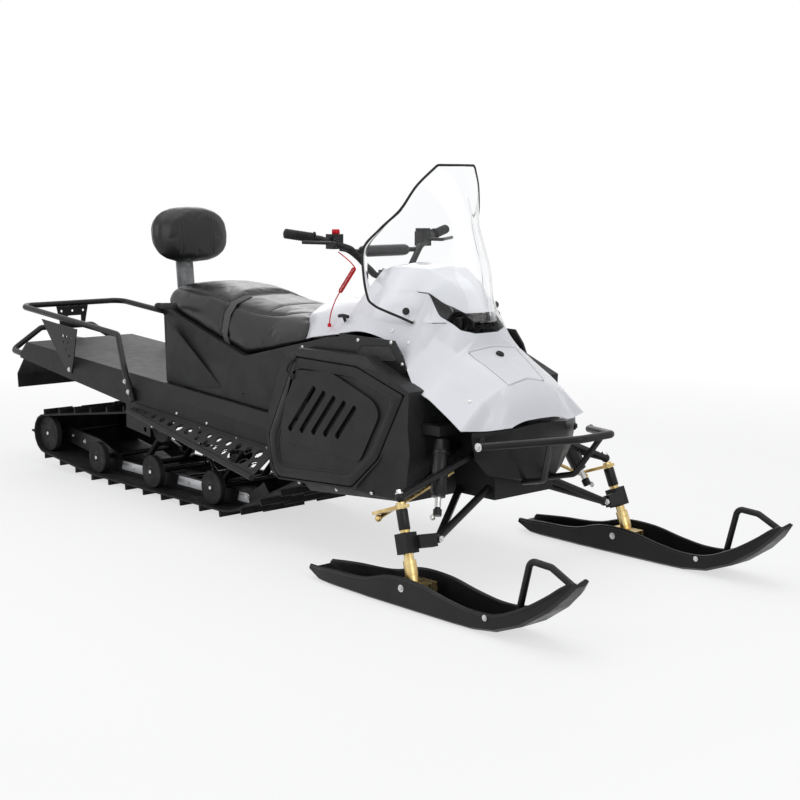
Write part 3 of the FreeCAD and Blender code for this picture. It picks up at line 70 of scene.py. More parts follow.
# Studio: a pale floor, soft lamps overhead and a camera at the machine's front right, as the
# photographer stood. The floor and the sky are white to the camera and keep the shadow.
azimuth, dip, roll = math.radians(47.546), math.radians(8.45), math.radians(0.148)
ahead = np.array([-math.sin(azimuth) * math.cos(dip), math.cos(azimuth) * math.cos(dip), -math.sin(dip)])
level = np.array([math.cos(azimuth), math.sin(azimuth), 0.0])
upright = np.cross(level, ahead)
right_hand = level * math.cos(roll) + upright * math.sin(roll)
upright = upright * math.cos(roll) - level * math.sin(roll)
camera = bpy.data.objects.new("photographer", bpy.data.cameras.new("photographer"))
scene.collection.objects.link(camera)
camera.matrix_world = Matrix(np.vstack([
    np.column_stack([right_hand, upright, -ahead, (4.2082, -3.3809, 1.2445)]), (0, 0, 0, 1)]).tolist())
camera.data.lens, camera.data.sensor_width = 65.98, 36.0
scene.camera = camera

for name, place, aim, width, power in (("overhead_box", (0.2, 0.0, 4.6), (0, 0, 0), 4.5, 92),
                                       ("front_box", (5.2, -1.2, 2.8), (0.6, 0, 0.5), 2.6, 42),
                                       ("side_box", (-0.8, -5.0, 2.6), (-0.2, 0, 0.4), 3.0, 46),
                                       ("rear_box", (-4.2, 3.4, 3.2), (-0.4, 0, 0.6), 3.0, 42)):
    lamp = bpy.data.objects.new(name, bpy.data.lights.new(name, "AREA"))
    lamp.data.size, lamp.data.energy = width, power
    lamp.location = place
    lamp.rotation_euler = (Vector(aim) - Vector(place)).to_track_quat("-Z", "Y").to_euler()
    scene.collection.objects.link(lamp)


def node(tree, kind, sockets=(), **settings):
    """A node with its own settings; each socket is linked to an output, or set to a value."""
    made = tree.nodes.new("ShaderNode" + kind)
    for key, value in settings.items():
        setattr(made, key, value)
    for key, value in dict(sockets).items():
        if isinstance(value, bpy.types.NodeSocket):
            tree.links.new(value, made.inputs[key])
        else:
            made.inputs[key].default_value = value
    return made


def white_to_camera(tree, output, lit, white, share):
    """Mix a lit shader, by a share, with plain white for rays from the camera, from a mirror or
    through glass."""
    rays = node(tree, "LightPath").outputs
    seen = rays["Is Camera Ray"]
    for ray in ("Is Glossy Ray", "Is Transmission Ray"):
        seen = node(tree, "Math", {0: seen, 1: rays[ray]}, operation="MAXIMUM").outputs[0]
    part = node(tree, "Math", {0: seen, 1: share}, operation="MULTIPLY").outputs[0]
    glow = node(tree, white, {"Color": (1, 1, 1, 1)}).outputs[0]
    mix = node(tree, "MixShader", {"Fac": part, 1: lit.outputs[0], 2: glow})
    tree.links.new(mix.outputs[0], output.inputs["Surface"])


world = bpy.data.worlds.new("studio")
world.use_nodes = True
scene.world = world
sky = world.node_tree.nodes["Background"]
sky.inputs["Color"].default_value = (0.93, 0.95, 1.0, 1)
sky.inputs["Strength"].default_value = 0.40
white_to_camera(world.node_tree, world.node_tree.nodes["World Output"], sky, "Background", 1.0)


def coating(name, **sockets):
    """A material, its node tree and its shader, with the sockets that are the same all over set."""
    material = bpy.data.materials.new(name)
    material.use_nodes = True
    tree = material.node_tree
    shader = tree.nodes["Principled BSDF"]
    for socket, value in sockets.items():
        shader.inputs[socket.replace("_", " ")].default_value = value
    return material, tree, shader


floor_mesh = bpy.data.meshes.new("studio_floor")
floor_mesh.from_pydata([(-40, -40, 0), (40, -40, 0), (40, 40, 0), (-40, 40, 0)], [], [(0, 1, 2, 3)])
studio_floor = bpy.data.objects.new("studio_floor", floor_mesh)
scene.collection.objects.link(studio_floor)
floor_paint, tree, shader = coating("floor_paint", Base_Color=(0.97, 0.97, 0.97, 1), Roughness=0.6)
reach = node(tree, "VectorMath", {0: node(tree, "TexCoord").outputs["Object"]}, operation="LENGTH")
fade = node(tree, "MapRange", {"Value": reach.outputs["Value"], "From Min": 2.4, "From Max": 4.6,
                               "To Min": 0.66, "To Max": 1.0})
white_to_camera(tree, tree.nodes["Material Output"], shader, "Emission", fade.outputs["Result"])
floor_mesh.materials.append(floor_paint)

# Tunnel: black coated aluminium sheet folded over the track, with bright rivets along its lower
# edges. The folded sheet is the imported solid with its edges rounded.


def cloudiness(tree, scale, detail=4.0, stretch=(1, 1, 1)):
    """Noise over the object's own metres, stretched by a factor along each axis."""
    turn = node(tree, "Mapping", {"Vector": node(tree, "TexCoord").outputs["Object"], "Scale": stretch})
    return node(tree, "TexNoise", {"Vector": turn.outputs["Vector"], "Scale": scale, "Detail": detail,
                                   "Roughness": 0.55}).outputs["Fac"]


def cells(tree, scale, feature="F1"):
    """Distance to the nearest cell centre, or to the cells' borders, of a Voronoi pattern."""
    place = node(tree, "TexCoord").outputs["Object"]
    return node(tree, "TexVoronoi", {"Vector": place, "Scale": scale}, feature=feature).outputs["Distance"]


def ramped(tree, source, low, high, stops=(0.35, 0.65)):
    """A colour, or a grey where low and high are numbers, that goes from low to high with source."""
    ramp = node(tree, "ValToRGB", {"Fac": source})
    for stop, element, tone in zip(stops, ramp.color_ramp.elements, (low, high)):
        element.position = stop
        element.color = (*tone, 1) if hasattr(tone, "__len__") else (tone, tone, tone, 1)
    return ramp.outputs["Color"]


def embossed(tree, shader, height, depth, strength=1.0):
    """Raise the shader's surface by a pattern, in metres, over any pattern already there."""
    before = shader.inputs["Normal"]
    under = {"Normal": before.links[0].from_socket} if before.is_linked else {}
    bump = node(tree, "Bump", {"Height": height, "Strength": strength, "Distance": depth, **under})
    tree.links.new(bump.outputs["Normal"], before)


def clouded(name, colour, roughness, *bumps, stops=(0.35, 0.65), **sockets):
    """A finish of soft clouds. Colour and roughness are (scale, low, high) and what else the noise
    takes; each bump is (pattern, scale, depth, strength) and what else the pattern takes."""
    material, tree, shader = coating(name, **sockets)
    for socket, (scale, low, high, *more), ends in (("Base Color", colour, stops),
                                                    ("Roughness", roughness, (0.35, 0.65))):
        tree.links.new(ramped(tree, cloudiness(tree, scale, *more), low, high, ends), shader.inputs[socket])
    for pattern, scale, depth, strength, *more in bumps:
        embossed(tree, shader, pattern(tree, scale, *more), depth, strength)
    return material


def tinted(tone, factor, added=0.0):
    """A tone made lighter or darker by a factor, and raised by what is added."""
    return [channel * factor + added for channel in tone]


def powder_coat(name, tone, rough):
    """Black powder coat: a faint orange peel with dull and shiny clouds."""
    return clouded(name, (9, tinted(tone, 0.8), tinted(tone, 1.25)), (26, rough - 0.02, rough + 0.04),
                   (cloudiness, 900, 0.0002, 0.25, 2), Specular_IOR_Level=0.25)


def painted(obj, material):
    """Give a piece one material all over."""
    obj.data.materials.clear()
    obj.data.materials.append(material)
    return obj


def settled(name, mesh, material, body="chassis", thick=0.0, crease=40, solid=None):
    """A piece: welded, smooth up to the crease angle and riding on its body. A new mesh is turned
    to face out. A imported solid's mesh already does, and only has its flat facets joined."""
    work = bmesh.new()
    work.from_mesh(solid or mesh)
    bmesh.ops.remove_doubles(work, verts=work.verts, dist=1e-6)
    if solid:
        bmesh.ops.dissolve_limit(work, angle_limit=math.radians(1), verts=work.verts, edges=work.edges)
    else:
        bmesh.ops.recalc_face_normals(work, faces=work.faces)
    work.to_mesh(mesh)
    work.free()
    mesh.shade_smooth()
    mesh.set_sharp_from_angle(angle=math.radians(crease))
    obj = bpy.data.objects.new(name, mesh)
    scene.collection.objects.link(obj)
    painted(obj, material)
    if thick:
        wall = obj.modifiers.new("wall", "SOLIDIFY")
        wall.thickness, wall.offset = thick, -1
    if body:
        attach(obj, body)
    return obj


def rounded_off(obj, width, segments, angle):
    """Bevel the edges sharper than an angle in degrees, by a width in metres."""
    bevel = obj.modifiers.new("edges", "BEVEL")
    bevel.width, bevel.segments, bevel.limit_method = width, segments, "ANGLE"
    bevel.angle_limit = math.radians(angle)
    return bevel


def refined(name, piece, material, round_off=0.0, crease=32):
    """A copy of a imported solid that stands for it, with its sharper edges rounded off."""
    source = frame["nodes"][name]
    obj = settled(piece, bpy.data.meshes.new(piece), material, source["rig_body"], crease=crease,
                  solid=source.data)
    if round_off:
        rounded_off(obj, round_off, 2, crease).harden_normals = True
    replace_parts(obj, name)
    return obj


def quads(index, closed_u=False, closed_v=True):
    """Faces of a grid of vertex numbers, rows by columns, joined round where it is closed."""
    if closed_u:
        index = np.vstack([index, index[:1]])
    if closed_v:
        index = np.hstack([index, index[:, :1]])
    corners = [index[:-1, :-1], index[:-1, 1:], index[1:, 1:], index[1:, :-1]]
    return np.stack(corners, -1).reshape(-1, 4).tolist()


def turnings(name, grids, material, body="chassis", crease=35):
    """One piece of many grids whose rows are closed rings, such as turned parts and tubes. The
    first and the last ring of each is filled."""
    faces, count = [], 0
    for grid in grids:
        index = count + np.arange(grid.shape[0] * grid.shape[1]).reshape(grid.shape[:2])
        faces += quads(index) + [index[0][::-1].tolist(), index[-1].tolist()]
        count += index.size
    mesh = bpy.data.meshes.new(name)
    mesh.from_pydata(np.vstack([grid.reshape(-1, 3) for grid in grids]).tolist(), [], faces)
    return settled(name, mesh, material, body, crease=crease)


def circle(steps):
    """Cosines and sines of even steps once round."""
    angle = np.linspace(0, 2 * np.pi, steps, endpoint=False)
    return np.cos(angle), np.sin(angle)


def across_of(run):
    """Two unit directions square to a run and to each other."""
    run = np.asarray(run, float) / np.linalg.norm(run)
    side = np.cross(run, np.eye(3)[np.argmin(np.abs(run))])
    side /= np.linalg.norm(side)
    return side, np.cross(run, side)


def turned(profile, origin, axis, steps=28):
    """Rings of a turned part: profile rows are (radius, height) along the axis from the origin."""
    axis = np.asarray(axis, float) / np.linalg.norm(axis)
    side, other = across_of(axis)
    cosines, sines = circle(steps)
    ring = cosines[:, None] * side + sines[:, None] * other
    profile = np.asarray(profile, float)
    return np.asarray(origin) + profile[:, 0, None, None] * ring + profile[:, 1, None, None] * axis


def screw_heads(places, radius):
    """Round button screws with a sunk socket on each place, a point and the way that it faces."""
    profile = [(1.0, -0.2), (1.0, 0.12), (0.85, 0.38), (0.5, 0.5), (0.42, 0.5), (0.38, 0.2)]
    return [turned(np.array(profile) * radius, point, facing, 14) for point, facing in places]


def mirrored(y, places, facing=(0, 1, 0)):
    """Places (x, z) at a distance y from the middle, and the way they face, on both sides."""
    return [((x, side * y, z), np.multiply(facing, (1, side, 1))) for side in (-1, 1) for x, z in places]


def zinc(name, tones, rough):
    """Plated steel: a cloudy metal with fine draw marks."""
    return clouded(name, (28, *tones, 5), (60, rough - 0.08, rough + 0.12, 3),
                   (cloudiness, 700, 0.0001, 0.3, 2), Metallic=1.0)


def fixings(name, heads, body="chassis", crease=25):
    """Bright screws, bolts or nuts as one piece."""
    return turnings(name, heads, bright_zinc, body, crease)


def tunnel_height(x, drop):
    """Height of the tunnel's top at x, less a drop square to its slope of 3.7 degrees, in metres."""
    return 0.442 - x * math.tan(math.radians(3.7)) - drop / math.cos(math.radians(3.7))


FOLD = 0.122
tunnel_coat = powder_coat("tunnel_coat", (0.010, 0.010, 0.011), 0.5)
bright_zinc = zinc("bright_zinc", ((0.50, 0.50, 0.50), (0.72, 0.72, 0.70)), 0.3)
refined("tunnel", "tunnel_sheet", tunnel_coat, 0.0006)
side_rivets = [(x, tunnel_height(x, FOLD) + rise)
               for x, rise in ((-0.411, 0.029), (-0.258, 0.002), (-0.215, 0.028), (-0.184, -0.002),
                               (-0.029, 0.009), (0.070, 0.000), (0.150, 0.010))]
fixings("board_rivets", screw_heads(mirrored(0.3016, side_rivets), 0.006), crease=35)

# Snow flap: dusty moulded rubber bolted under the tunnel's tail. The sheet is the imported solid
# with its edges rounded.


def moulded_rubber(name, tone, rough, grain):
    """Black rubber: dusty clouds and a fine pebble of the given number of cells a metre."""
    return clouded(name, (14, tone, tinted(tone, 2.0, 0.004), 6), (40, rough - 0.1, rough + 0.12),
                   (cells, grain, 0.0003, 0.45), stops=(0.4, 0.75), Specular_IOR_Level=0.2)


flap_rubber = moulded_rubber("flap_rubber", (0.014, 0.014, 0.014), 0.62, 700)
refined("snow_flap", "flap_sheet", flap_rubber, 0.0012)

# Running boards: pierced sheet with a tube along the outside; the round holes have raised,
# toothed rims that the boot grips.
BOARD_BACK, BOARD_FRONT, WALL_Y = -0.700, 0.196, 0.304


def baked(obj):
    """The mesh of a piece with its modifiers applied."""
    return bpy.data.meshes.new_from_object(obj.evaluated_get(bpy.context.evaluated_depsgraph_get()))


def carved(obj, *cutters, operation="DIFFERENCE"):
    """Cut each cutter, a list of closed grids, out of a piece, or keep what they share."""
    tools = [turnings("cutter", grids, obj.data.materials[0], None) for grids in cutters]
    for tool in tools:
        step = obj.modifiers.new("cut", "BOOLEAN")
        step.operation, step.solver, step.object = operation, "EXACT", tool
    mesh = baked(obj)
    obj.modifiers.clear()
    obj.data = mesh
    for tool in tools:
        bpy.data.objects.remove(tool)
    mesh.shade_smooth()
    mesh.set_sharp_from_angle(angle=math.radians(32))
    return obj


def board_hole_places(side):
    """Centre and radius of each hole: one row where the board is narrow and two where it is wide,
    on the sheet that slopes from the tunnel's side down to the tube."""
    places = []
    back_z = tunnel_height(BOARD_BACK, FOLD) - 0.008
    for share in (np.arange(14) + 0.6) / 14.6:
        x = BOARD_BACK + (BOARD_FRONT - BOARD_BACK) * share
        width = 0.018 + 0.069 * share
        inner_z = tunnel_height(x, FOLD)
        drop = np.interp(x, (BOARD_BACK, BOARD_FRONT), (back_z, 0.234)) - inner_z
        rows = (0.5,) if width < 0.052 else (0.27, 0.75)
        radius = min(0.0165, width / len(rows) / 2 - 0.004)
        if radius > 0.006:
            places += [((x + 0.016 * (row > 0.5), side * (WALL_Y + width * row), inner_z + drop * row),
                        radius) for row in rows]
    return places


def sweep(path, radius, steps=12):
    """Rings of a tube along a path, each square to the path there; radius may change along it."""
    path = np.asarray(path, float)
    run = np.gradient(path, axis=0)
    run /= np.linalg.norm(run, axis=1)[:, None]
    side = np.empty_like(path)
    side[0] = across_of(run[0])[0]
    for k in range(1, len(path)):
        drift = side[k - 1] - run[k] * (side[k - 1] @ run[k])
        side[k] = drift / np.linalg.norm(drift)
    cosines, sines = (part[:, None] for part in circle(steps))
    ring = cosines * side[:, None] + sines * np.cross(run, side)[:, None]
    return path[:, None] + np.broadcast_to(np.asarray(radius, float), len(path))[:, None, None] * ring


def toothed_rims(side):
    """One ring round each hole; its tube swells and shrinks ten times round."""
    around = np.linspace(0, 2 * np.pi, 41)
    teeth = 0.0022 + 0.0011 * np.sin(10 * around)
    return [sweep(np.stack([x + radius * np.cos(around), y + radius * np.sin(around),
                            z + 0.002 - side * 0.5 * radius * np.sin(around)], 1), teeth, 6)
            for (x, y, z), radius in board_hole_places(side)]


HANDS = ((-1, "right"), (1, "left"))
footboards = refined("running_boards", "footboards", tunnel_coat)
carved(footboards, [turned([(radius, -0.06), (radius, 0.06)], place, (0, 0, 1), 18)
                    for side in (-1, 1) for place, radius in board_hole_places(side)])
for side, hand in HANDS:
    turnings(f"board_teeth_{hand}", toothed_rims(side), tunnel_coat)

# Track: one moulded rubber belt with lugs across it, dusty grey where it has run. The belt is the
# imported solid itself, in its rubber finish.
track_rubber = moulded_rubber("track_rubber", (0.016, 0.016, 0.016), 0.7, 420)
painted(frame["nodes"]["track"], track_rubber)

# Track wheels: a rubber tyre on a ribbed plastic disc with a bright bolt in its hub. The steel
# cross axles join each pair.
WHEELS = [(-1.126, 0.096, 0.0657), (-0.713, 0.096, 0.0657), (-0.300, 0.096, 0.0657),
          (-1.530, 0.148, 0.0777), (-0.640, 0.285, 0.0597)]
WHEEL_Y, HALF_WIDTH = 0.215, 0.013
TYRE = np.array([(-12, -13), (-3, -13), (0, -10), (0, 10), (-3, 13), (-12, 13)]) / 1000


def bolt_heads(places, radius, height):
    """Domed washers with a hexagon head on each place, a point and the way that it faces."""
    washer = [(radius * 1.5, -0.001), (radius * 1.5, height * 0.22), (radius * 1.05, height * 0.3)]
    head = [(radius, 0), (radius, height * 0.85), (radius * 0.85, height)]
    return [turned(profile, *place, steps) for place in places
            for profile, steps in ((washer, 16), (head, 6))]


def moulded_plastic(name, tone, rough, grain=650, depth=0.00022, coat=0.0):
    """Black moulded plastic: a pebbled grain, dull and shiny clouds and a little dust."""
    return clouded(name, (7, tinted(tone, 0.85), tinted(tone, 1.3), 6), (18, rough - 0.05, rough + 0.08),
                   (cells, grain, depth, 0.5), Specular_IOR_Level=0.22, Coat_Weight=coat, Coat_Roughness=0.2)


dark_bolt = powder_coat("dark_bolt", (0.018, 0.018, 0.019), 0.38)
wheel_plastic = moulded_plastic("wheel_plastic", (0.011, 0.011, 0.012), 0.4)
tyres, discs, axles, hub_bolts, ribs = [], [], [], [], []
for x, z, radius in WHEELS:
    disc = [(radius - 0.011, -0.6), (radius - 0.011, 0.75), (radius - 0.016, 0.9), (radius - 0.020, 0.3),
            (radius * 0.42, 0.12), (radius * 0.36, 1.0), (radius * 0.26, 1.15), (radius * 0.22, 0.8),
            (0.012, 0.8), (0.012, -0.6)]
    for side in (-1, 1):
        centre, outward = (x, side * WHEEL_Y, z), (0, side, 0)
        tyres.append(turned(TYRE + (radius, 0), centre, outward, 48))
        discs.append(turned(np.array(disc) * (1, HALF_WIDTH), centre, outward, 48))
        hub_bolts += bolt_heads([((x, side * (WHEEL_Y + HALF_WIDTH * 0.8), z), outward)], 0.0085, 0.0085)
        for turn in np.arange(6) * np.pi / 3:
            reach = np.array([[radius * 0.36], [radius - 0.018]])
            spoke = reach * (math.cos(turn), 0, math.sin(turn))
            ribs.append(sweep(spoke + (x, side * (WHEEL_Y + HALF_WIDTH * 0.35), z), 0.0035, 6))
    axles.append(turned([(0.010, -0.214), (0.010, 0.214)], (x, 0, z), (0, 1, 0), 20))
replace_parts(turnings("wheel_tyres", tyres, track_rubber), "track_wheels")
turnings("wheel_discs", discs + ribs, wheel_plastic)
turnings("wheel_axles", axles, dark_bolt)
fixings("wheel_bolts", hub_bolts)

# Slide rails: black coated rails with bright aluminium plates and bolts on their outer sides and
# a black sliding strip under each. The raised tail arms carry the rear idler.


def drawn_aluminium(name, tones, rough):
    """Extruded aluminium: draw lines along x and grey clouds of oxide."""
    return clouded(name, (30, *tones, 5, (0.25, 1, 1)), (55, rough - 0.08, rough + 0.14, 3, (0.1, 1, 1)),
                   (cloudiness, 500, 0.0002, 0.4, 2, (0.02, 1, 1)), Metallic=1.0, Anisotropic=0.4)


def at_depth(outline, depth, plane="xz"):
    """Points of an outline in the side view, or in another plane, all at one depth."""
    columns = dict(zip(plane, np.asarray(outline, float).T))
    return np.stack([columns.get(axis, np.full(len(outline), depth)) for axis in "xyz"], 1)


def prism(outline, low, high, plane="xz"):
    """A closed grid: an outline carried from one depth to another."""
    return np.array([at_depth(outline, depth, plane) for depth in (low, high)])


rail_aluminium = drawn_aluminium("rail_aluminium", ((0.46, 0.47, 0.49), (0.70, 0.71, 0.73)), 0.36)
rail_black = powder_coat("rail_black", (0.011, 0.011, 0.011), 0.4)
refined("slide_rails", "rail_pair", rail_black, 0.0008)
wear_plates = []
for side in (-1, 1):
    for start, end in ((-1.045, -0.800), (-0.630, -0.385), (-0.225, -0.150)):
        corners = [(start, 0.050), (end, 0.050), (end - 0.012, 0.086), (start + 0.012, 0.086)]
        wear_plates.append(prism(corners, side * 0.1566, side * 0.1586))
turnings("rail_plates", wear_plates, rail_aluminium)


def rail_strip(y):
    """A flat strip under the rail: straight, then round an arc of 300 mm; its section is carried
    along the line with its top square to the run."""
    bend = np.radians(np.linspace(0, 38, 16))
    arc = np.stack([-0.217 + 0.300 * np.sin(bend), 0.330 - 0.300 * np.cos(bend)], 1)
    line = at_depth(np.vstack([[(-1.058, 0.030), (-0.6, 0.030)], arc]), y)
    run = np.gradient(line, axis=0)
    run /= np.linalg.norm(run, axis=1)[:, None]
    rise = np.cross((0, -1, 0), run)
    section = np.array([(-0.0085, 0.001), (0.0085, 0.001), (0.0085, 0.013), (-0.0085, 0.013)])
    return line[:, None] + section[None, :, :1] * (0, -1, 0) + section[None, :, 1:] * rise[:, None]


turnings("rail_sliders", [rail_strip(-0.150), rail_strip(0.150)], wheel_plastic)
rail_bolts = mirrored(0.1572, [(-0.95, 0.068), (-0.83, 0.068), (-0.55, 0.068), (-0.42, 0.068), (-0.16, 0.075),
                               (-1.24, 0.118), (-1.34, 0.128), (-1.44, 0.142)])
fixings("rail_bolts", bolt_heads(rail_bolts, 0.006, 0.006))

# Track suspension: welded swing arms and the two shocks between the rails, each a damper in a
# black coil spring.
refined("swing_arms", "swing_arm_tubes", tunnel_coat)


def damper(top, low, body, rod_radius, share):
    """A damper's turned outline from its top eye to its low eye: body, collar, rod."""
    axis = np.subtract(low, top)
    span = np.linalg.norm(axis)
    end = span * share
    eye, collar = rod_radius * 1.7, body * 0.85
    profile = [(rod_radius, 0.004), (body * 0.8, 0.012), (body, 0.02), (body, end), (collar, end + 0.006),
               (collar, end + 0.014), (rod_radius, end + 0.016), (rod_radius, span - 0.028),
               (eye, span - 0.024), (eye, span - 0.004)]
    return turned(profile, top, axis)


def coil_spring(top, low, radius, wire, turns, start, end):
    """Wire wound on a cylinder between two shares of the damper's length."""
    top, low = np.asarray(top, float), np.asarray(low, float)
    side, other = across_of(low - top)
    t = np.linspace(0, 1, turns * 18)[:, None]
    angle = turns * 2 * np.pi * t
    axle = top + (low - top) * (start + (end - start) * t)
    return sweep(axle + radius * (np.cos(angle) * side + np.sin(angle) * other), wire, 8)


shock_black = powder_coat("shock_black", (0.009, 0.009, 0.010), 0.28)
TRACK_SHOCKS = [((-0.160, 0, 0.333), (-0.550, 0, 0.075), 11), ((-0.732, 0, 0.292), (-0.590, 0, 0.075), 7)]
shock_parts = []
for top, low, turns in TRACK_SHOCKS:
    shock_parts += [damper(top, low, 0.019, 0.008, 0.62),
                    coil_spring(top, low, 0.0215, 0.0042, turns, 0.15, 0.82),
                    turned([(0.013, -0.1425), (0.013, 0.1425)], low, (0, 1, 0), 20)]
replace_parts(turnings("track_shocks", shock_parts, shock_black), "shocks")
painted(frame["nodes"]["drive_axle"], wheel_plastic)

# Tail bar and hitch: bent tube and a drilled plate in black coated steel, fixed to the tunnel's
# tail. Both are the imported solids, the plate with its edges rounded.
steel_coat = powder_coat("steel_coat", (0.009, 0.009, 0.010), 0.32)
refined("tail_bar", "tail_tube", steel_coat)
refined("tow_hitch", "hitch_plate", steel_coat, 0.0008)

# Rear rack: bent tube with gussets that are pierced by seven holes each, bolted to the tunnel's
# sides.
GUSSET_HOLES = [(-1.245, 0.606), (-1.215, 0.603), (-1.185, 0.599), (-1.235, 0.580), (-1.200, 0.577),
                (-1.215, 0.550), (-1.195, 0.525)]
carved(refined("rear_rack", "rack_steelwork", steel_coat),
       [turned([(0.007, -0.40), (0.007, 0.40)], (x, 0, z), (0, 1, 0), 14) for x, z in GUSSET_HOLES])
rack_bolts = mirrored(0.3046, [(-1.198, tunnel_height(-1.198, 0.045) - 0.006)])
rack_bolts += mirrored(0.3255, [(-0.712, tunnel_height(-0.712, FOLD) + 0.062),
                                (-0.735, tunnel_height(-0.735, FOLD) + 0.100)])
fixings("rack_bolts", bolt_heads(rack_bolts, 0.0065, 0.006))

# Seat base: a blow-moulded box in grained charcoal plastic with a raised field on each side,
# screwed to the tunnel.
BASE_Y = 0.2485
BOX_PANEL = np.array([(-0.540, 0.725), (-0.189, 0.492), (-0.485, 0.466), (-0.549, 0.497)])
charcoal = moulded_plastic("charcoal_plastic", (0.017, 0.017, 0.018), 0.5, 900, 0.0003)
refined("seat_base", "seat_box", charcoal, 0.006, 25)
base_screws = mirrored(BASE_Y + 0.001, [(-0.53, 0.515), (-0.30, 0.500), (-0.06, 0.485), (0.14, 0.475)])
turnings("seat_box_screws", screw_heads(base_screws, 0.007), dark_bolt)
middle = BOX_PANEL.mean(0)
box_panels = [np.array([at_depth(middle + (BOX_PANEL - middle) * share, side * (BASE_Y + rise))
                        for share, rise in ((1.0, 0), (1.0, 0.002), (0.96, 0.004))]) for side in (-1, 1)]
turnings("seat_box_panels", box_panels, charcoal)

# Seats: two foam cushions in glossy black vinyl with welted seams; the webbing strap crosses
# where the driver's ends.


def vinyl(name, tone):
    """Coated vinyl: leather cells of about two millimetres, soft creases and a clear top coat."""
    return clouded(name, (6, tone, tinted(tone, 1.5)), (22, 0.30, 0.38),
                   (cells, 620, 0.0004, 0.5, "DISTANCE_TO_EDGE"),
                   (cloudiness, 9, 0.0015, 0.15, 2, (1, 0.5, 1)),
                   Specular_IOR_Level=0.3, Coat_Weight=0.16, Coat_Roughness=0.22)


def through(knots, values, slopes, at):
    """Cubics through the values at their knots with the slopes given there, read off at places."""
    k = np.clip(np.searchsorted(knots, at, side="right") - 1, 0, len(knots) - 2)
    width = np.diff(knots)[k][:, None]
    t = (at - knots[k])[:, None] / width
    return ((2 * t ** 3 - 3 * t ** 2 + 1) * values[k] + (t ** 3 - 2 * t ** 2 + t) * width * slopes[k]
            + (3 * t ** 2 - 2 * t ** 3) * values[k + 1] + (t ** 3 - t ** 2) * width * slopes[k + 1])


def eased(path, count):
    """A smooth line through points: a cubic through each with the slope of its neighbours."""
    path = np.asarray(path, float)
    spans = np.r_[0, np.cumsum(np.linalg.norm(np.diff(path, axis=0), axis=1))]
    return through(spans, path, np.gradient(path, spans, axis=0), np.linspace(0, spans[-1], count))


def of_vertices(mesh, key):
    """A value of three numbers for every vertex of a mesh."""
    flat = np.empty(len(mesh.vertices) * 3)
    mesh.vertices.foreach_get(key, flat)
    return flat.reshape(-1, 3)


def blown_up(obj, at_rest, hold_z, pressure, cap):
    """Where the vertices go when the cover is blown up as cloth from inside, held to a cap."""
    cloth = obj.modifiers.new("cover", "CLOTH")
    cloth.settings.use_pressure = True
    cloth.settings.uniform_pressure_force = pressure
    cloth.settings.effector_weights.gravity = 0
    if hold_z:
        held = obj.vertex_groups.new(name="held")
        held.add(np.flatnonzero(at_rest[:, 2] < hold_z(at_rest[:, 0])).tolist(), 1.0, "REPLACE")
        cloth.settings.vertex_group_mass = "held"
    for step in range(1, 16):
        scene.frame_set(step)
    blown = baked(obj)
    move = of_vertices(blown, "co") - at_rest
    bpy.data.meshes.remove(blown)
    obj.modifiers.clear()
    scene.frame_set(1)
    return at_rest + move * np.minimum(1, cap / np.maximum(np.linalg.norm(move, axis=1), 1e-9))[:, None]


def puffed(name, piece, material, voxel, pressure, hold_z, seams):
    """A padded cover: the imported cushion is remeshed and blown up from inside; then each seam, a
    list of points, pulls the cover in along its line by a bell of its width and depth."""
    source = frame["nodes"][name]
    obj = bpy.data.objects.new(piece, source.data.copy())
    scene.collection.objects.link(obj)
    even = obj.modifiers.new("even", "REMESH")
    even.mode, even.voxel_size = "VOXEL", voxel
    fairing = obj.modifiers.new("fairing", "SMOOTH")
    fairing.factor, fairing.iterations = 0.5, 22
    obj.data = baked(obj)
    obj.modifiers.clear()
    mesh = obj.data
    places = of_vertices(mesh, "co")
    places = blown_up(obj, places, hold_z, pressure, 0.006)
    mesh.vertices.foreach_set("co", places.ravel())
    mesh.update()
    normals = of_vertices(mesh, "normal")
    for line, width, depth in seams:
        nearest = np.min([np.linalg.norm(places[:, None] - part, axis=2).min(1)
                          for part in eased(line, 90).reshape(9, 10, 3)], axis=0)
        places = places - normals * (depth * np.exp(-(nearest / width) ** 2))[:, None]
    mesh.vertices.foreach_set("co", places.ravel())
    mesh.update()
    mesh.shade_smooth()
    finer = obj.modifiers.new("finer", "SUBSURF")
    finer.levels = finer.render_levels = 1
    painted(obj, material)
    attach(obj, source["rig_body"])
    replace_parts(obj, name)
    return obj


def piping(name, target, lines, radius):
    """Welts along lines laid on a cover: each point is drawn to the nearest spot of its surface."""
    mesh = baked(target)
    skin = BVHTree.FromPolygons([v.co for v in mesh.vertices], [p.vertices for p in mesh.polygons])
    bpy.data.meshes.remove(mesh)
    grids = []
    for line in lines:
        laid = np.array([skin.find_nearest(Vector(p))[0] for p in eased(line, 120)])
        laid[1:-1] = (laid[:-2] + 2 * laid[1:-1] + laid[2:]) / 4
        grids.append(sweep(laid, radius, 8))
    turnings(name, grids, seat_vinyl)


def above_base(x):
    """Height under which a cushion stays on the seat base, in metres."""
    return np.interp(x, (-0.625, -0.080, 0.278, 0.318), (0.765, 0.618, 0.700, 0.700)) + 0.008


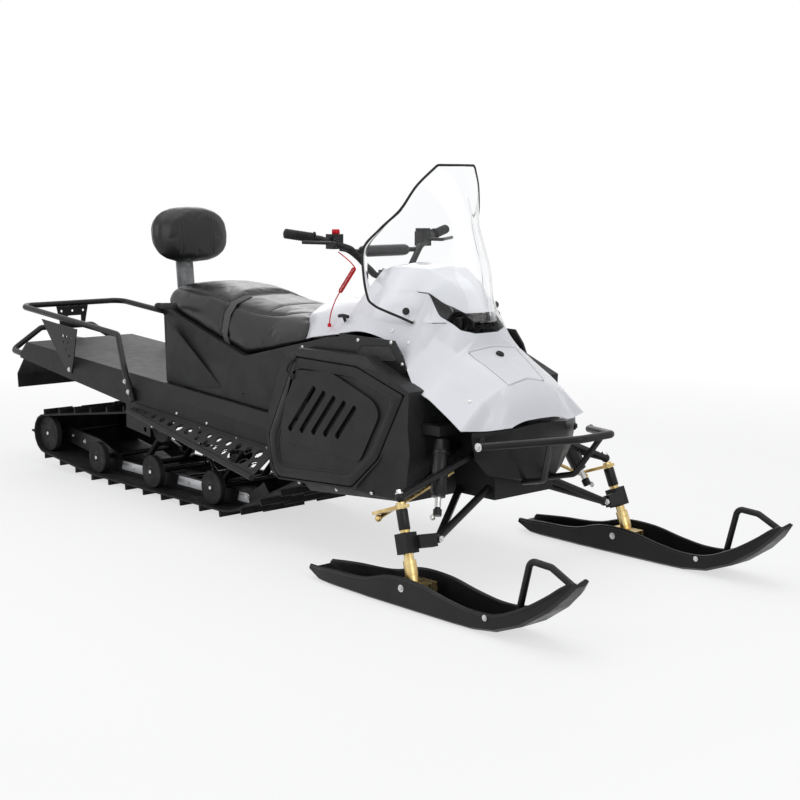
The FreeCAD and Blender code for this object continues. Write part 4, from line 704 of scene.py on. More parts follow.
seat_vinyl = vinyl("seat_vinyl", (0.0065, 0.0065, 0.007))
DRIVER_SEAM = [(-0.225, 0.172, 0.80), (-0.12, 0.172, 0.785), (0.02, 0.160, 0.772), (0.12, 0.135, 0.785),
               (0.20, 0.115, 0.80)]
PASSENGER_SEAM = [(-0.640, 0.11, 0.80), (-0.60, 0.150, 0.83), (-0.50, 0.168, 0.835), (-0.36, 0.172, 0.825),
                  (-0.245, 0.172, 0.805)]
for rider, seam, (x, z), depth in (("driver", DRIVER_SEAM, (-0.02, 0.80), 0.004),
                                   ("passenger", PASSENGER_SEAM, (-0.40, 0.86), 0.003)):
    long_seams = [np.array(seam) * (1, side, 1) for side in (-1, 1)]
    cross_seam = [(x, y, z) for y in (-0.17, -0.09, 0, 0.09, 0.17)]
    cushion = puffed(f"{rider}_seat", f"{rider}_cushion", seat_vinyl, 0.0065, 1.0, above_base,
                     [(line, 0.010, 0.004) for line in long_seams] + [(cross_seam, 0.012, depth)])
    piping(f"{rider}_welts", cushion, long_seams + [cross_seam] * (rider == "driver"), 0.0018)


def webbing(name, tone):
    """Woven strap: crossed bands of about a millimetre and a half."""
    material, tree, shader = coating(name, Roughness=0.75, Sheen_Weight=0.3)
    place = node(tree, "TexCoord").outputs["Object"]
    along, over = (node(tree, "TexWave", {"Scale": 210, "Vector": place}, bands_direction=axis).outputs["Fac"]
                   for axis in ("X", "Y"))
    crossed = node(tree, "Math", {0: along, 1: over}, operation="MULTIPLY").outputs[0]
    tree.links.new(ramped(tree, crossed, tinted(tone, 0.5), tinted(tone, 1.6)), shader.inputs["Base Color"])
    embossed(tree, shader, crossed, 0.0008, 0.8)
    return material


refined("seat_strap", "strap_webbing", webbing("strap_weave", (0.022, 0.022, 0.022)), 0.0005, 40)

# Backrest: a stuffed vinyl pad with paired upright seams, a plastic shell behind it and a flat
# grey steel bar down to the seat base.
PAD_Z = 1.035
pad_seams = [[(-0.68, y, PAD_Z + up) for up in (-0.085, -0.04, 0, 0.04, 0.085)]
             for y in (-0.082, -0.066, 0.066, 0.082)]
pad = puffed("backrest_pad", "backrest_cushion", seat_vinyl, 0.0055, 1.2, None,
             [(line, 0.005, 0.006) for line in pad_seams])
piping("pad_welts", pad, pad_seams, 0.0016)
grey_steel = zinc("grey_steel", ((0.14, 0.145, 0.15), (0.22, 0.225, 0.23)), 0.45)
refined("backrest_post", "backrest_bar", grey_steel, 0.0015, 25)


def patch(name, points, material, body="chassis", closed_u=False, closed_v=False, thick=0.0):
    """A surface through a grid of points, rows by columns."""
    rows, columns = points.shape[:2]
    mesh = bpy.data.meshes.new(name)
    mesh.from_pydata(points.reshape(-1, 3).tolist(), [],
                     quads(np.arange(rows * columns).reshape(rows, columns), closed_u, closed_v))
    return settled(name, mesh, material, body, thick)


def shell_ring(reach, depth):
    """A squarish ring, cosine and sine to the power of three quarters, leaning with the pad."""
    wide, high = (np.sign(part) * np.abs(part) ** 0.75 * reach for part in circle(48))
    return np.stack([-0.745 + depth * 0.9 - 0.12 * 0.1125 * high, 0.178 * wide, PAD_Z + 0.1125 * high], 1)


SHELL = [(0.80, -0.032), (0.86, -0.046), (0.82, -0.060), (0.55, -0.068), (0.02, -0.069)]
patch("backrest_shell", np.array([shell_ring(*row) for row in SHELL]), wheel_plastic,
      closed_v=True)

# Grab handles: steel loops with ribbed rubber sleeves, one each side of the passenger. Loop and
# sleeve are tubes along one line.


def ribbed_sleeve(path, radius, pitch):
    """A rubber sleeve with rings every pitch along it and a rounded end."""
    spans = np.r_[0, np.cumsum(np.linalg.norm(np.diff(path, axis=0), axis=1))]
    rings = radius + 0.0014 * np.abs(np.sin(np.pi * spans / pitch))
    ends = np.minimum(spans, spans[-1] - spans)
    return sweep(path, rings * np.sqrt(np.clip(ends / 0.006, 0.02, 1)), 20)


grip_rubber = moulded_rubber("grip_rubber", (0.013, 0.013, 0.013), 0.6, 1100)
GRAB = np.array([(-0.598, 0.20, 0.733), (-0.604, 0.238, 0.755), (-0.595, 0.257, 0.768), (-0.56, 0.258, 0.771),
                 (-0.467, 0.258, 0.777)])
grab_lines = [eased(GRAB * (1, side, 1), 130) for side in (-1, 1)]
grab_sleeves = [ribbed_sleeve(line[34:], 0.0112, 0.009) for line in grab_lines]
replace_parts(turnings("grab_sleeves", grab_sleeves, grip_rubber), "grab_handles")
turnings("grab_loops", [sweep(line[:60], 0.009, 16) for line in grab_lines], steel_coat)

# Lower body: the grained plastic tub round the engine, with the collar that each door closes on
# and screws along its lower edge. The cast engine stands inside.
refined("lower_body", "tub_moulding", charcoal, 0.002, 30)
engine_casting = zinc("engine_casting", ((0.10, 0.10, 0.10), (0.22, 0.22, 0.22)), 0.55)
painted(frame["nodes"]["engine_block"], engine_casting)
tub_screws = [screw for y, place in ((0.326, (0.36, 0.232)), (0.328, (0.56, 0.238)), (0.332, (0.74, 0.256)))
              for screw in mirrored(y, [place], (0, 1, -0.2))]
fixings("tub_screws", screw_heads(tub_screws, 0.006), crease=35)

# Side panels: blow-moulded doors. The rim is chamfered, a groove runs inside it round a raised
# field, and five slanted slots let the heat out. A fine mesh backs the slots, and a rubber latch
# holds the top.
PANEL_RIM = np.array([(371, 668), (681, 663), (911, 593), (788, 373), (660, 263), (271, 239), (233, 284),
                      (219, 388), (341, 620)]) / 1000
FIELD = np.array([(360, 622), (560, 632), (770, 560), (800, 520), (700, 350), (560, 362), (300, 372),
                  (292, 420)]) / 1000
DOOR_FACE = 0.351


def bends(corners, before, after, radius, share, steps):
    """Each corner as a parabola: it starts a radius away on the side to the corner before, or at
    most a share of that side, and ends so on the side to the corner after."""
    ends = []
    for side in (before - corners, after - corners):
        length = np.maximum(np.linalg.norm(side, axis=-1, keepdims=True), 1e-6)
        ends.append((corners + side * np.minimum(radius / length, share))[..., None, :])
    t = np.linspace(0, 1, steps)[:, None]
    return (1 - t) ** 2 * ends[0] + 2 * t * (1 - t) * corners[..., None, :] + t ** 2 * ends[1]


def soft_corners(outline, radius, steps=7):
    """A closed flat outline with its corners bent."""
    outline = np.asarray(outline, float)
    return bends(outline, np.roll(outline, 1, 0), np.roll(outline, -1, 0), radius, 0.45, steps).reshape(-1, 2)


def inset(outline, distance):
    """Move each side of a closed outline inwards by a distance; new corners are where neighbours
    meet."""
    onward = np.roll(outline, -1, 0) - outline
    onward /= np.linalg.norm(onward, axis=1)[:, None]
    area = np.sum(outline[:, 0] * np.roll(outline[:, 1], -1) - np.roll(outline[:, 0], -1) * outline[:, 1])
    inward = np.stack([-onward[:, 1], onward[:, 0]], 1) * np.sign(area)
    offset = np.sum((outline + inward * distance) * inward, axis=1)
    before, offset_before = np.roll(inward, 1, 0), np.roll(offset, 1)
    cross = before[:, 0] * inward[:, 1] - before[:, 1] * inward[:, 0]
    return np.stack([(offset_before * inward[:, 1] - offset * before[:, 1]) / cross,
                     (before[:, 0] * offset - inward[:, 0] * offset_before) / cross], 1)


def door_rows(side):
    """Rings of the door's frame, from its back edge over the rim and the groove to the back again:
    the outline moved in by a distance, at a depth from the outer face, with a corner radius."""
    steps = [(0.004, 0.0158, 0.016), (0.004, 0.0065, 0.016), (0.0055, 0.0040, 0.016), (0.017, 0.0008, 0.020),
             (0.020, 0.0002, 0.022), (0.034, 0.0002, 0.026), (0.0365, 0.0012, 0.028), (0.040, 0.0068, 0.030),
             (0.050, 0.0072, 0.034), (0.050, 0.0158, 0.034)]
    return np.array([at_depth(soft_corners(inset(PANEL_RIM, distance), radius), side * (DOOR_FACE - depth))
                     for distance, depth, radius in steps])


def slot_outline(k):
    """The k-th slot from the back, 20 mm wide; the slots get shorter towards the front."""
    low = np.array([0.338 + k * 0.062, 0.412 + k * 0.0015])
    lean = np.array([142, 164]) / math.hypot(142, 164)
    high = low + lean * 0.215 * (1 - 0.075 * k)
    half = np.array([lean[1], -lean[0]]) * 0.010
    return soft_corners([low - half, low + half, high + half, high - half], 0.009)


PLATES = [("door_floor", soft_corners(inset(PANEL_RIM, 0.0475), 0.034), 0.3425, 0.002),
          ("door_field", soft_corners(FIELD, 0.030), 0.3508, 0.007)]
LATCH = np.array([(376, 344, 664), (354, 360, 640), (344, 362, 618), (360, 352.5, 600)]) / 1000
BACKING = [(0.336, 0.408), (0.596, 0.408), (0.736, 0.588), (0.486, 0.588)]
door_plastic = moulded_plastic("door_plastic", (0.013, 0.013, 0.014), 0.42, 1000, 0.0003)
for side, hand in HANDS:
    panel = f"side_panel_{hand}"
    door_frame = patch(f"door_frame_{hand}", door_rows(side), door_plastic, panel,
                       closed_u=True, closed_v=True)
    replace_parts(door_frame, panel)
    slots = [[prism(slot_outline(k), side * 0.32, side * 0.37)] for k in range(5)]
    for name, outline, face, softness in PLATES:
        plate = turnings(f"{name}_{hand}", [prism(outline, side * 0.3352, side * face)], door_plastic,
                         panel)
        rounded_off(carved(plate, *slots), softness, 3, 50)
    catch = screw_heads([((0.360, side * 0.352, 0.599), (0, side, 0))], 0.011)
    turnings(f"door_latch_{hand}", [sweep(eased(LATCH * (1, side, 1), 40), 0.0045)] + catch, flap_rubber,
             panel)
    backing = prism(BACKING, side * 0.3365, side * 0.3375)
    turnings(f"slot_mesh_{hand}", [backing], wheel_plastic, panel)

# Intake panels: satin black mouldings between the hood and the doors, each with a rimmed mesh
# field and screws along its edge.
INTAKE_Y = 0.2826
intake_plastic = moulded_plastic("intake_plastic", (0.008, 0.008, 0.009), 0.26, 1400, 0.0001, 0.15)
refined("intake_panels", "intake_mouldings", intake_plastic, 0.0012)
intake_mesh, mesh_tree, mesh_shader = coating("intake_mesh", Base_Color=(0.008, 0.008, 0.008, 1))
wires = cells(mesh_tree, 210, "DISTANCE_TO_EDGE")
mesh_tree.links.new(ramped(mesh_tree, wires, 0.30, 0.75), mesh_shader.inputs["Roughness"])
embossed(mesh_tree, mesh_shader, wires, 0.002)
field = soft_corners([(0.600, 0.676), (0.634, 0.722), (0.772, 0.730), (0.806, 0.684)], 0.014)
for side, hand in HANDS:
    rim = sweep(at_depth(np.vstack([field, field[:1]]), side * (INTAKE_Y + 0.0002)), 0.0022, 8)
    turnings(f"intake_rim_{hand}", [rim], intake_plastic)
    turnings(f"intake_grille_{hand}", [prism(field, side * INTAKE_Y, side * (INTAKE_Y + 0.001))], intake_mesh)
intake_screws = mirrored(INTAKE_Y, [(0.619, 0.737), (0.779, 0.742), (0.832, 0.677), (0.330, 0.690)])
fixings("intake_screws", screw_heads(intake_screws, 0.0065), crease=35)

# Console: the gloss white moulding over the tank, run smoothly through its sections, with a
# round opening cut for the steering column.


def gloss_white(name):
    """Gloss white moulding: a cool clear-coated white with a faint orange peel."""
    return clouded(name, (3, (0.74, 0.745, 0.78), (0.79, 0.795, 0.825)), (14, 0.16, 0.26),
                   (cloudiness, 420, 0.0001, 0.2, 2), Coat_Weight=0.25, Coat_Roughness=0.08,
                   Specular_IOR_Level=0.35)


def monotone(knots, values, at):
    """Cubic through values at knots that never overshoots: slopes are harmonic means, or nothing
    where the values turn."""
    steep = np.diff(values, axis=0) / np.diff(knots)[:, None]
    slopes = np.zeros_like(values)
    both = steep[:-1] * steep[1:]
    slopes[1:-1] = np.where(both > 0, 2 * both / np.where(both > 0, steep[:-1] + steep[1:], 1), 0)
    slopes[0], slopes[-1] = steep[0], steep[-1]
    return through(knots, values, slopes, at)


def moulding(stations, at, radius, steps):
    """Both halves of a shell: half sections in millimetres run smoothly through their stations,
    and the corners of every section are bent."""
    knots = np.array([x for x, _ in stations]) / 1000
    halves = np.array([half for _, half in stations]) / 1000
    smooth = monotone(knots, halves.reshape(len(knots), -1), at).reshape(len(at), -1, 2)
    right = np.concatenate([np.broadcast_to(at[:, None, None], smooth[..., :1].shape), smooth], axis=2)
    whole = np.concatenate([right[:, :0:-1] * (1, -1, 1), right], axis=1)
    corners = bends(whole[:, 1:-1], whole[:, :-2], whole[:, 2:], radius, 0.42, steps)
    return np.concatenate([whole[:, :1], corners.reshape(len(at), -1, 3), whole[:, -1:]], axis=1)


COLUMN_X = 0.4645
CONSOLE = [(95, [(0, 797), (22, 795), (36, 772), (40, 700)]),
           (250, [(0, 835), (100, 830), (180, 790), (205, 706)]),
           (340, [(0, 850), (120, 845), (210, 795), (250, 722)]),
           (520, [(0, 868), (140, 857), (235, 800), (280, 750)])]
white_gloss = gloss_white("gloss_white")
console_skin = patch("console_cover", moulding(CONSOLE, np.linspace(0.095, 0.520, 60), 0.022, 6), white_gloss,
                     thick=0.004)
cosines, sines = circle(40)
carved(console_skin, [prism(np.stack([COLUMN_X + 0.022 * cosines, 0.021 * sines], 1), 0.80, 0.92, "xy")])
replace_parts(console_skin, "console")

# Hood: one white moulding from the dials' dome down to the nose, creased along each side, with
# openings for the lamp and for the hatch. Hatch and lamp lens are cut from the same surface.
HOOD = [(520.5, [(0, 965), (80, 957), (160, 885), (240, 806), (283, 752)]),
        (620, [(0, 980), (103, 970), (180, 882), (245, 812), (278, 766)]),
        (735, [(0, 976), (85, 966), (143, 885), (228, 790), (255, 741)]),
        (790, [(0, 958), (72, 945), (134, 893), (196, 803), (250, 702)]),
        (850, [(0, 925), (58, 908), (158, 757), (200, 715), (278, 658)]),
        (885, [(0, 886), (60, 862), (154, 739), (200, 692), (285, 616)]),
        (912, [(0, 835), (56, 812), (150, 722), (198, 676), (288, 600)]),
        (932, [(0, 764), (54, 758), (147, 708), (197, 666), (292, 592)]),
        (948, [(0, 726), (112, 716), (146, 700), (196, 658), (298, 590)]),
        (1020, [(0, 684), (99, 672), (134, 662), (200, 622), (290, 548)]),
        (1098, [(0, 640), (84, 624), (110, 612), (190, 574), (285, 497)]),
        (1120, [(0, 612), (84, 600), (122, 586), (170, 540), (215, 492)]),
        (1140, [(0, 580), (78, 571), (116, 558), (150, 528), (182, 494)]),
        (1165, [(0, 516), (60, 515), (84, 512), (108, 507), (130, 500)])]
HOOD_BACK, CORNER_X, CORNER = 0.5205, 1.098, 10
HATCH = np.array([(0.950, -0.112), (1.104, -0.083), (1.104, 0.083), (0.950, 0.112)])
LAMP = np.array([(54, 766), (100, 778), (127, 822), (137, 898), (104, 862), (70, 830)]) / 1000
LAMP = np.vstack([LAMP, LAMP[::-1] * (-1, 1)])
hood_at = np.unique(np.r_[np.linspace(HOOD_BACK, 0.790, 44), np.linspace(0.790, 0.950, 80),
                          np.linspace(0.950, 1.165, 60)])
hood_grid = np.vstack([moulding(HOOD[:CORNER + 1], hood_at[hood_at <= CORNER_X], 0.007, 5),
                       moulding(HOOD[CORNER:], hood_at[hood_at > CORNER_X], 0.007, 5)])


def clear_sheet(name, bending):
    """Clear polycarbonate: glass with the faintest haze; how far it bends light is its index."""
    return clouded(name, (4, (0.955, 0.965, 0.975), (0.985, 0.99, 0.995)), (40, 0.0, 0.02),
                   Transmission_Weight=1.0, IOR=bending, Specular_IOR_Level=0.5)


def hatch_block(distance, radius):
    """The hatch's outline, moved in by a distance, as a block through the hood from above."""
    return [prism(soft_corners(inset(HATCH, distance), radius), 0.5, 1.0, "xy")]


def lamp_block(distance):
    """The lamp's outline, moved in by a distance, as a block through the hood from the front."""
    return [prism(soft_corners(inset(LAMP, distance), 0.006), 0.74, 0.98, "yz")]


hood_skin = patch("hood_skin", hood_grid, white_gloss, thick=0.004)
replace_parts(carved(hood_skin, hatch_block(0, 0.008), lamp_block(0)), "hood")
hatch_lid = patch("hatch_lid", hood_grid, white_gloss, "hood_hatch", thick=0.004)
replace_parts(carved(hatch_lid, hatch_block(0.003, 0.006), operation="INTERSECT"), "hood_hatch")
lamp_lens = patch("lamp_lens", hood_grid, clear_sheet("lamp_glass", 1.12), thick=0.003)
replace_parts(carved(lamp_lens, lamp_block(0.001), operation="INTERSECT"), "headlight_lens")


def skin_height(row, y, beyond=None):
    """Height of one row of the hood at a distance from the middle."""
    half = row[row[:, 1] >= 0]
    half = half[np.argsort(half[:, 1])]
    return np.interp(y, half[:, 1], half[:, 2], right=beyond)


def skin_point(x, y):
    """The hood's surface point at x and y, and which way it faces there, from its slopes."""
    k = int(np.argmin(np.abs(hood_at - x)))
    onward = min(k + 2, len(hood_at) - 1)
    z = skin_height(hood_grid[k], abs(y))
    slope_y = (skin_height(hood_grid[k], abs(y) + 0.004) - z) / 0.004
    slope_x = (skin_height(hood_grid[onward], abs(y)) - z) / (hood_at[onward] - hood_at[k])
    return (x, y, z), (-slope_x, -slope_y if y >= 0 else slope_y, 1.0)


hood_screws = [skin_point(x, side * y) for side in (-1, 1)
               for x, y in ((0.735, 0.238), (0.800, 0.228), (1.065, 0.215))]
fixings("hood_screws", screw_heads(hood_screws, 0.0062), crease=35)
knob = turned([(0.013, -0.002), (0.014, 0.003), (0.0125, 0.007), (0.008, 0.0085), (0.007, 0.006)],
              *skin_point(0.985, 0.0))
turnings("hatch_knob", [knob], wheel_plastic, "hood_hatch")

# Dashboard: the black moulded panel that faces the rider under the dome, with one round dial. It
# closes the hood's first section, drawn in a little.
dash_ring = hood_grid[0] * (1, 0.985, 1) - (0, 0, 0.003)
dash_mesh = bpy.data.meshes.new("dash")
dash_mesh.from_pydata(np.vstack([dash_ring, (HOOD_BACK, 0.0, 0.80)]).tolist(), [],
                      [(k, k + 1, len(dash_ring)) for k in range(len(dash_ring) - 1)])
settled("dash_panel", dash_mesh, wheel_plastic, thick=0.003)
dial = [(0.034, 0.0), (0.036, 0.006), (0.033, 0.009), (0.030, 0.007), (0.004, 0.0065), (0.001, 0.0065)]
turnings("dash_dial", [turned(dial, (0.519, 0.0, 0.925), (-1, 0, 0.15), 40)], intake_plastic)

# Head lamp: four square modules behind the lens, each a bright metallised bowl in a black frame,
# with a black plate behind them.


def bright_mirror(name):
    """Metallised plastic: a bright mirror with faint ripples."""
    return clouded(name, (20, (0.75, 0.75, 0.77), (0.92, 0.92, 0.94)), (50, 0.06, 0.16), Metallic=1.0)


SQUARE = np.array([(1, 1), (-1, 1), (-1, -1), (1, -1)])
lamp_bodies, lamp_bowls = [], []
for y in (-0.060, -0.020, 0.020, 0.060):
    rows = []
    for reach, depth in ((0.0195, -0.03), (0.0195, 0.0), (0.0175, 0.002), (0.0165, -0.003), (0.010, -0.016),
                         (0.002, -0.019)):
        ring = soft_corners(SQUARE * reach, reach * 0.35, 5)
        rows.append(at_depth(ring * (0.95, 1) + (y, 0.797), 0.906 - 6.0 * y ** 2 + depth, "yz"))
    lamp_bodies.append(np.array(rows[:4]))
    lamp_bowls.append(np.array(rows[3:]))
lamp_mirror = bright_mirror("lamp_mirror")
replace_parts(turnings("lamp_modules", lamp_bowls, lamp_mirror), "headlight_unit")
turnings("lamp_frames", lamp_bodies, intake_plastic)
back_ring = at_depth(soft_corners(LAMP * (0.98, 1), 0.01), 0.0, "yz")
back_ring[:, 0] = np.interp(np.abs(back_ring[:, 1]), (0, 0.08, 0.14), (0.868, 0.835, 0.745))
lamp_back = bpy.data.meshes.new("lamp_back")
lamp_back.from_pydata(back_ring.tolist(), [], [list(range(len(back_ring)))])
settled("lamp_backing", lamp_back, intake_plastic, thick=0.002)

# Windshield: clear sheet bent round the dome, with a thin black rubber edge and two bolts. Each
# row of SCREEN is a height, the middle's and the edge's x, and half the width, in millimetres.
SCREEN = np.array([(800, 944, 795, 202), (868, 928, 659, 270), (950, 906, 650, 284), (1033, 882, 632, 268),
                   (1097, 862, 661, 220), (1155, 846, 708, 180), (1233, 823, 744, 140),
                   (1299, 800, 781, 83)]) / 1000
ROWS, COLUMNS, CELL = 110, 61, 0.005


def screen_sheet():
    """The sheet down to the hood's skin. Each level curves back from its middle by a power of
    1.35; every column is then cut off where it first stands free of the hood, and spread anew."""
    heights = np.linspace(0.800, 1.299, ROWS)
    middle, edge, half_width = np.split(monotone(SCREEN[:, 0], SCREEN[:, 1:], heights), 3, axis=1)
    across = np.linspace(-1, 1, COLUMNS)
    grid = np.stack([middle - (middle - edge) * np.abs(across) ** 1.35, half_width * across,
                     np.broadcast_to(heights[:, None], (ROWS, COLUMNS))], axis=2)
    skin = np.array([skin_height(row, np.linspace(0, 0.36, 73), 0.0) for row in hood_grid])
    near_row = np.clip(np.searchsorted(hood_at, grid[..., 0]), 0, len(hood_at) - 1)
    near_column = np.clip((np.abs(grid[..., 1]) / CELL).astype(int), 0, 72)
    lowest = np.argmax(grid[..., 2] > skin[near_row, near_column] + 0.001, axis=0)
    pick = lowest + np.linspace(0, 1, 90)[:, None] * (ROWS - 1 - lowest)
    below = np.floor(pick).astype(int).clip(0, ROWS - 2)
    part = (pick - below)[..., None]
    column = np.broadcast_to(np.arange(COLUMNS), below.shape)
    return grid[below, column] * (1 - part) + grid[below + 1, column] * part


screen = screen_sheet()
clear_screen = patch("screen_sheet", screen, clear_sheet("screen_clear", 1.30), thick=0.004)
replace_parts(clear_screen, "windshield")
rim = np.vstack([screen[:, 0], screen[-1, 1:], screen[-2::-1, -1]]) + (-0.002, 0, 0)
turnings("screen_edge", [sweep(eased(rim[::3], 260), 0.0042, 10)], flap_rubber)
screen_bolts = mirrored(0.209, [(0.768, 0.836)], (0.5, 0.8, 0.2))
turnings("screen_bolts", bolt_heads(screen_bolts, 0.008, 0.006), dark_bolt)

# Nose cover and bumper: satin black moulding under the hood's lip, bolted at its sides, with the
# bulkhead behind it and a bent steel tube guard in front.
nose_plastic = moulded_plastic("nose_plastic", (0.010, 0.010, 0.011), 0.34, 1200, 0.0002)
refined("nose_cover", "nose_moulding", nose_plastic, 0.003, 30)
nose_bolts = mirrored(0.214, [(1.120, 0.462)], (0.6, 1, 0))
turnings("nose_bolts", bolt_heads(nose_bolts, 0.009, 0.008), dark_bolt, crease=25)
refined("front_frame", "bulkhead", tunnel_coat, 0.0015)
refined("front_bumper", "bumper_tubes", steel_coat)
fixings("bumper_bolts", bolt_heads(mirrored(0.262, [(1.150, 0.452)]), 0.009, 0.008))

# Front suspension: welded wishbones, cast spindle housings and gas dampers with a collar and a
# bright rod. The joints' nuts are on the arms' ends.
refined("front_arms", "wishbones", steel_coat)
refined("spindle_housings", "housing_castings", tunnel_coat, 0.003)
front_dampers, damper_rods, joint_nuts = [], [], []
for side in (-1, 1):
    top, low = (0.993, side * 0.262, 0.468), (1.066, side * 0.352, 0.236)
    axis = np.subtract(low, top)
    span = np.linalg.norm(axis)
    kingpin = np.array((-0.3244, -side * 0.089, 0.9418))
    front_dampers += [damper(top, low, 0.0255, 0.008, 0.70),
                      turned([(0.0258, span * 0.20), (0.0268, span * 0.205), (0.0268, span * 0.235),
                              (0.0258, span * 0.24)], top, axis)]
    damper_rods.append(turned([(0.0095, span * 0.70), (0.0095, span - 0.03)], top, axis, 20))
    joint_nuts += bolt_heads([((1.0312, side * 0.4766, 0.3215), kingpin)], 0.0085, 0.012)
    joint_nuts += bolt_heads([((1.1215, side * 0.3867, 0.184), (1, 0, 0)),
                              ((1.066, side * 0.371, 0.238), (0.2, side, 0))], 0.0065, 0.007)
turnings("front_dampers", front_dampers, shock_black)
fixings("damper_rods", damper_rods, crease=35)
fixings("joint_nuts", joint_nuts)

# Spindles and tie rods: forged and yellow-zinc plated, each spindle in a black sleeve. The skis
# hang on them by bright bolts.
SKI_Y = 0.485
zinc_yellow = zinc("yellow_zinc", ((0.50, 0.34, 0.12), (0.74, 0.58, 0.28)), 0.3)
for side, hand in HANDS:
    refined(f"spindle_{hand}", f"spindle_forging_{hand}", zinc_yellow, 0.0015)
    refined(f"tie_rod_{hand}", f"track_rod_{hand}", zinc_yellow)
    sleeve = turned([(0.0165, 0.040), (0.0178, 0.043), (0.0178, 0.100), (0.0165, 0.103)],
                    (1.080, side * 0.490, 0.180), (-0.3244, -side * 0.089, 0.9418))
    turnings(f"spindle_sleeve_{hand}", [sleeve], shock_black, f"spindle_{hand}")
    ski_bolts = []
    for x, half_width, z, *size in ((1.122, 0.0665, 0.062, 0.0075, 0.007),
                                    (1.467, 0.0685, 0.050, 0.006, 0.005)):
        bolts = [((x, side * SKI_Y + turn * half_width, z), (0, turn, 0)) for turn in (-1, 1)]
        ski_bolts += bolt_heads(bolts, *size)
    fixings(f"ski_bolts_{hand}", ski_bolts, f"ski_{hand}")

# Skis: moulded black plastic with a rolled edge on each side and two ribs along the sole's back.
# Rows of SKI_EDGE are x, z and half the width.
SKI_EDGE = [(0.676, 0.040, 0.0500), (0.732, 0.044, 0.0600), (0.782, 0.048, 0.0630), (0.972, 0.062, 0.0700),
            (1.062, 0.086, 0.0700), (1.192, 0.088, 0.0700), (1.322, 0.066, 0.0700), (1.410, 0.056, 0.0700),
            (1.500, 0.062, 0.0686), (1.590, 0.096, 0.0630), (1.680, 0.150, 0.0530), (1.730, 0.186, 0.0430),
            (1.748, 0.196, 0.0330)]
SKI_RIB = [(0.740, 0.016), (0.800, 0.0155), (0.950, 0.0155), (1.040, 0.0155)]
ski_plastic = moulded_plastic("ski_plastic", (0.010, 0.010, 0.011), 0.36, 900, 0.0002)
for side, hand in HANDS:
    refined(f"ski_{hand}", f"ski_moulding_{hand}", ski_plastic, 0.002, 30)
    edges = [[(x, side * SKI_Y + edge * (half - 0.006), z) for x, z, half in SKI_EDGE] for edge in (-1, 1)]
    rims = [sweep(eased(edge, 110), 0.0058, 8) for edge in edges]
    rims += [sweep(eased(at_depth(SKI_RIB, side * SKI_Y + y), 60), 0.005, 8) for y in (-0.022, 0.022)]
    turnings(f"ski_edges_{hand}", rims, ski_plastic, f"ski_{hand}")

# Handlebar: bent steel tube with ribbed grips, a padded crossbar, a switch box with a red cap and
# a brake master with its reservoir. Two cables run down each side.
refined("handlebar", "steering_tubes", steel_coat)
refined("handlebar_controls", "control_boxes", intake_plastic, 0.003)
grips = []
for side in (-1, 1):
    outer, inner = np.array((0.349, side * 0.375, 1.0765)), np.array((0.389, side * 0.276, 1.060))
    grips += [ribbed_sleeve(outer + (inner - outer) * np.linspace(0, 1, 130)[:, None], 0.0155, 0.0075),
              turned([(0.0165, 0), (0.0205, 0.001), (0.0205, 0.004), (0.0165, 0.005)],
                     inner - (inner - outer) * 0.04, inner - outer)]
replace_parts(turnings("grip_rubbers", grips, grip_rubber, "handlebar"), "handlebar_grips")

pad_turn = np.linspace(-1, 1, 40)
pad_rings = sweep(np.stack([np.full(40, 0.4300), 0.112 * pad_turn, np.full(40, 1.012)], 1),
                  0.0195 * (1 - np.abs(pad_turn) ** 14) ** 0.5 + 0.001, 20)
pad_cover = vinyl("pad_cover", (0.012, 0.012, 0.013))
bar_pad = turnings("bar_pad", [pad_rings], pad_cover, "handlebar")
clamp_bolts = [((x, side * 0.027, 0.9475), (0, 0, 1)) for side in (-1, 1) for x in (0.457, 0.485)]
fixings("clamp_bolts", bolt_heads(clamp_bolts, 0.0055, 0.006), "handlebar")
TANK_X, TANK_Y = 0.408, 0.204
TANK = [(0.020, 1.071), (0.0205, 1.073), (0.0205, 1.0815), (0.0190, 1.0835), (0.001, 1.0838)]
reservoir = [at_depth(soft_corners(SQUARE * reach, reach * 0.3, 5) + (TANK_X, TANK_Y), height, "xy")
             for reach, height in TANK]
turnings("brake_reservoir", [np.array(reservoir)], wheel_plastic, "handlebar")
lid_screws = [((TANK_X + x, TANK_Y + y, 1.0838), (0, 0, 1)) for x in (-0.013, 0.013) for y in (-0.013, 0.013)]
fixings("reservoir_screws", screw_heads(lid_screws, 0.003), "handlebar", 35)
CABLE = [(0.404, 0.180, 1.030), (0.418, 0.165, 1.026), (0.447, 0.128, 0.992), (0.467, 0.088, 0.955),
         (0.474, 0.060, 0.925)]
cables = [sweep(eased(np.array(CABLE) * (1, side, 1) - (0, 0, drop), 60), 0.0034, 8)
          for side in (-1, 1) for drop in (0.0, 0.012)]
turnings("bar_cables", cables, grip_rubber, "handlebar")

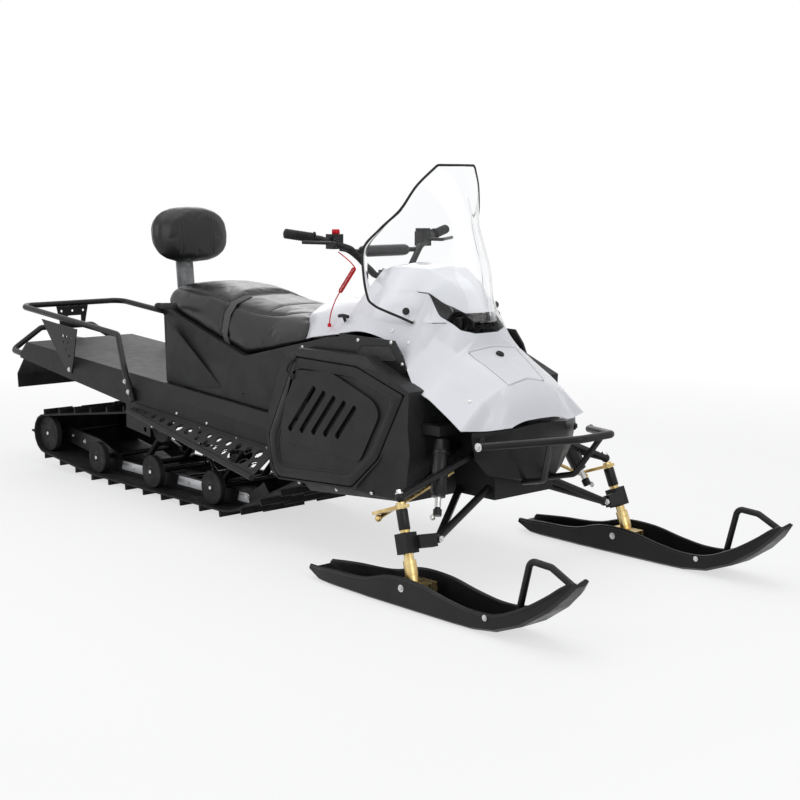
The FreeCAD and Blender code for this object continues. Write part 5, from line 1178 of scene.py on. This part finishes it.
# Column boot and the console's small parts: a ribbed rubber boot round the steering column, the
# pull starter's T handle and the key's round switch.
column_foot, column_axis = (0.4655, 0, 0.856), (-math.sin(math.radians(25)), 0, math.cos(math.radians(25)))
rise = np.linspace(0, 1, 42)
outside = np.stack([0.0285 - 0.006 * rise + 0.0022 * np.abs(np.sin(np.pi * 5 * rise)), 0.034 * rise], 1)
boot = turned(np.vstack([outside, [(0.0185, 0.034), (0.0185, 0.0)]]), column_foot, column_axis, 32)
patch("column_boot", boot, flap_rubber, closed_u=True, closed_v=True)
starter = [sweep(eased([(0.500, -0.262, 0.806), (0.522, -0.263, 0.809), (0.544, -0.261, 0.806)], 24), 0.0062),
           sweep([(0.522, -0.262, 0.808), (0.519, -0.252, 0.790), (0.516, -0.243, 0.782)], 0.0052, 10)]
turnings("starter_handle", starter, wheel_plastic)
key = turned([(0.0165, -0.004), (0.0165, 0.006), (0.0145, 0.009), (0.001, 0.0095)], (0.492, -0.100, 0.860),
             (-0.1, -0.1, 1))
turnings("key_switch", [key], wheel_plastic)

# Tether: the red cord that stops the engine. It hangs from the switch box, is coiled along its
# middle and is clipped to a boss on the console's side.
UPPER_RUN = [(0.430, -0.206, 1.012), (0.449, -0.209, 1.006), (0.492, -0.220, 0.992), (0.528, -0.229, 0.979),
             (0.540, -0.228, 0.966)]
LOWER_RUN = [(0.462, -0.228, 0.880), (0.449, -0.231, 0.862), (0.446, -0.248, 0.826), (0.450, -0.262, 0.792),
             (0.449, -0.262, 0.766)]
TURNS, COIL_RADIUS, CORD_RADIUS = 20, 0.0062, 0.002


def red_rubber(name):
    """Red moulded plastic with a soft sheen."""
    return clouded(name, (40, (0.50, 0.004, 0.010), (0.62, 0.008, 0.016)), (90, 0.3, 0.42),
                   Specular_IOR_Level=0.25)


def cord_run(points):
    """The line that a cord follows by its control points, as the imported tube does."""
    curve = bpy.data.curves.new("run", "CURVE")
    curve.dimensions = "3D"
    spline = curve.splines.new("NURBS")
    spline.points.add(len(points) - 1)
    for spot, place in zip(spline.points, points):
        spot.co = (*place, 1)
    spline.order_u = 3
    spline.use_endpoint_u = True
    spline.resolution_u = 14
    holder = bpy.data.objects.new("run", curve)
    scene.collection.objects.link(holder)
    line = np.array([vertex.co for vertex in baked(holder).vertices])
    bpy.data.objects.remove(holder)
    return line


def helix(start, end, radius, turns):
    """A coil's line round the way from start to end; it opens and closes over a twentieth."""
    side, other = across_of(end - start)
    t = np.linspace(0, 1, turns * 16)[1:-1, None]
    angle = turns * 2 * np.pi * t
    swell = radius * np.minimum(1, np.minimum(t, 1 - t) / 0.05)
    return start + (end - start) * t + swell * (np.cos(angle) * side + np.sin(angle) * other)


coil = helix(np.array(UPPER_RUN[-1]), np.array(LOWER_RUN[0]), COIL_RADIUS, TURNS)
tether_line = np.vstack([cord_run(UPPER_RUN), coil, cord_run(LOWER_RUN)])
tether_red = red_rubber("tether_red")
tether = turnings("tether", [sweep(tether_line, CORD_RADIUS, 8)], tether_red, None)
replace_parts(tether, "tether_cord", "tether_coil")
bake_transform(tether)
cap = turned([(0.0125, 1.0715), (0.0135, 1.073), (0.0135, 1.084), (0.0115, 1.088), (0.001, 1.0885)],
             (0.410, -0.200, 0), (0, 0, 1))
turnings("tether_cap", [cap], tether_red, "handlebar")
clip = turned([(0.0065, 0), (0.0065, 0.008), (0.0045, 0.012), (0.0022, 0.013)], LOWER_RUN[-1], (0, 0, 1), 18)
tether_clip = turnings("tether_clip", [clip], tether_red)
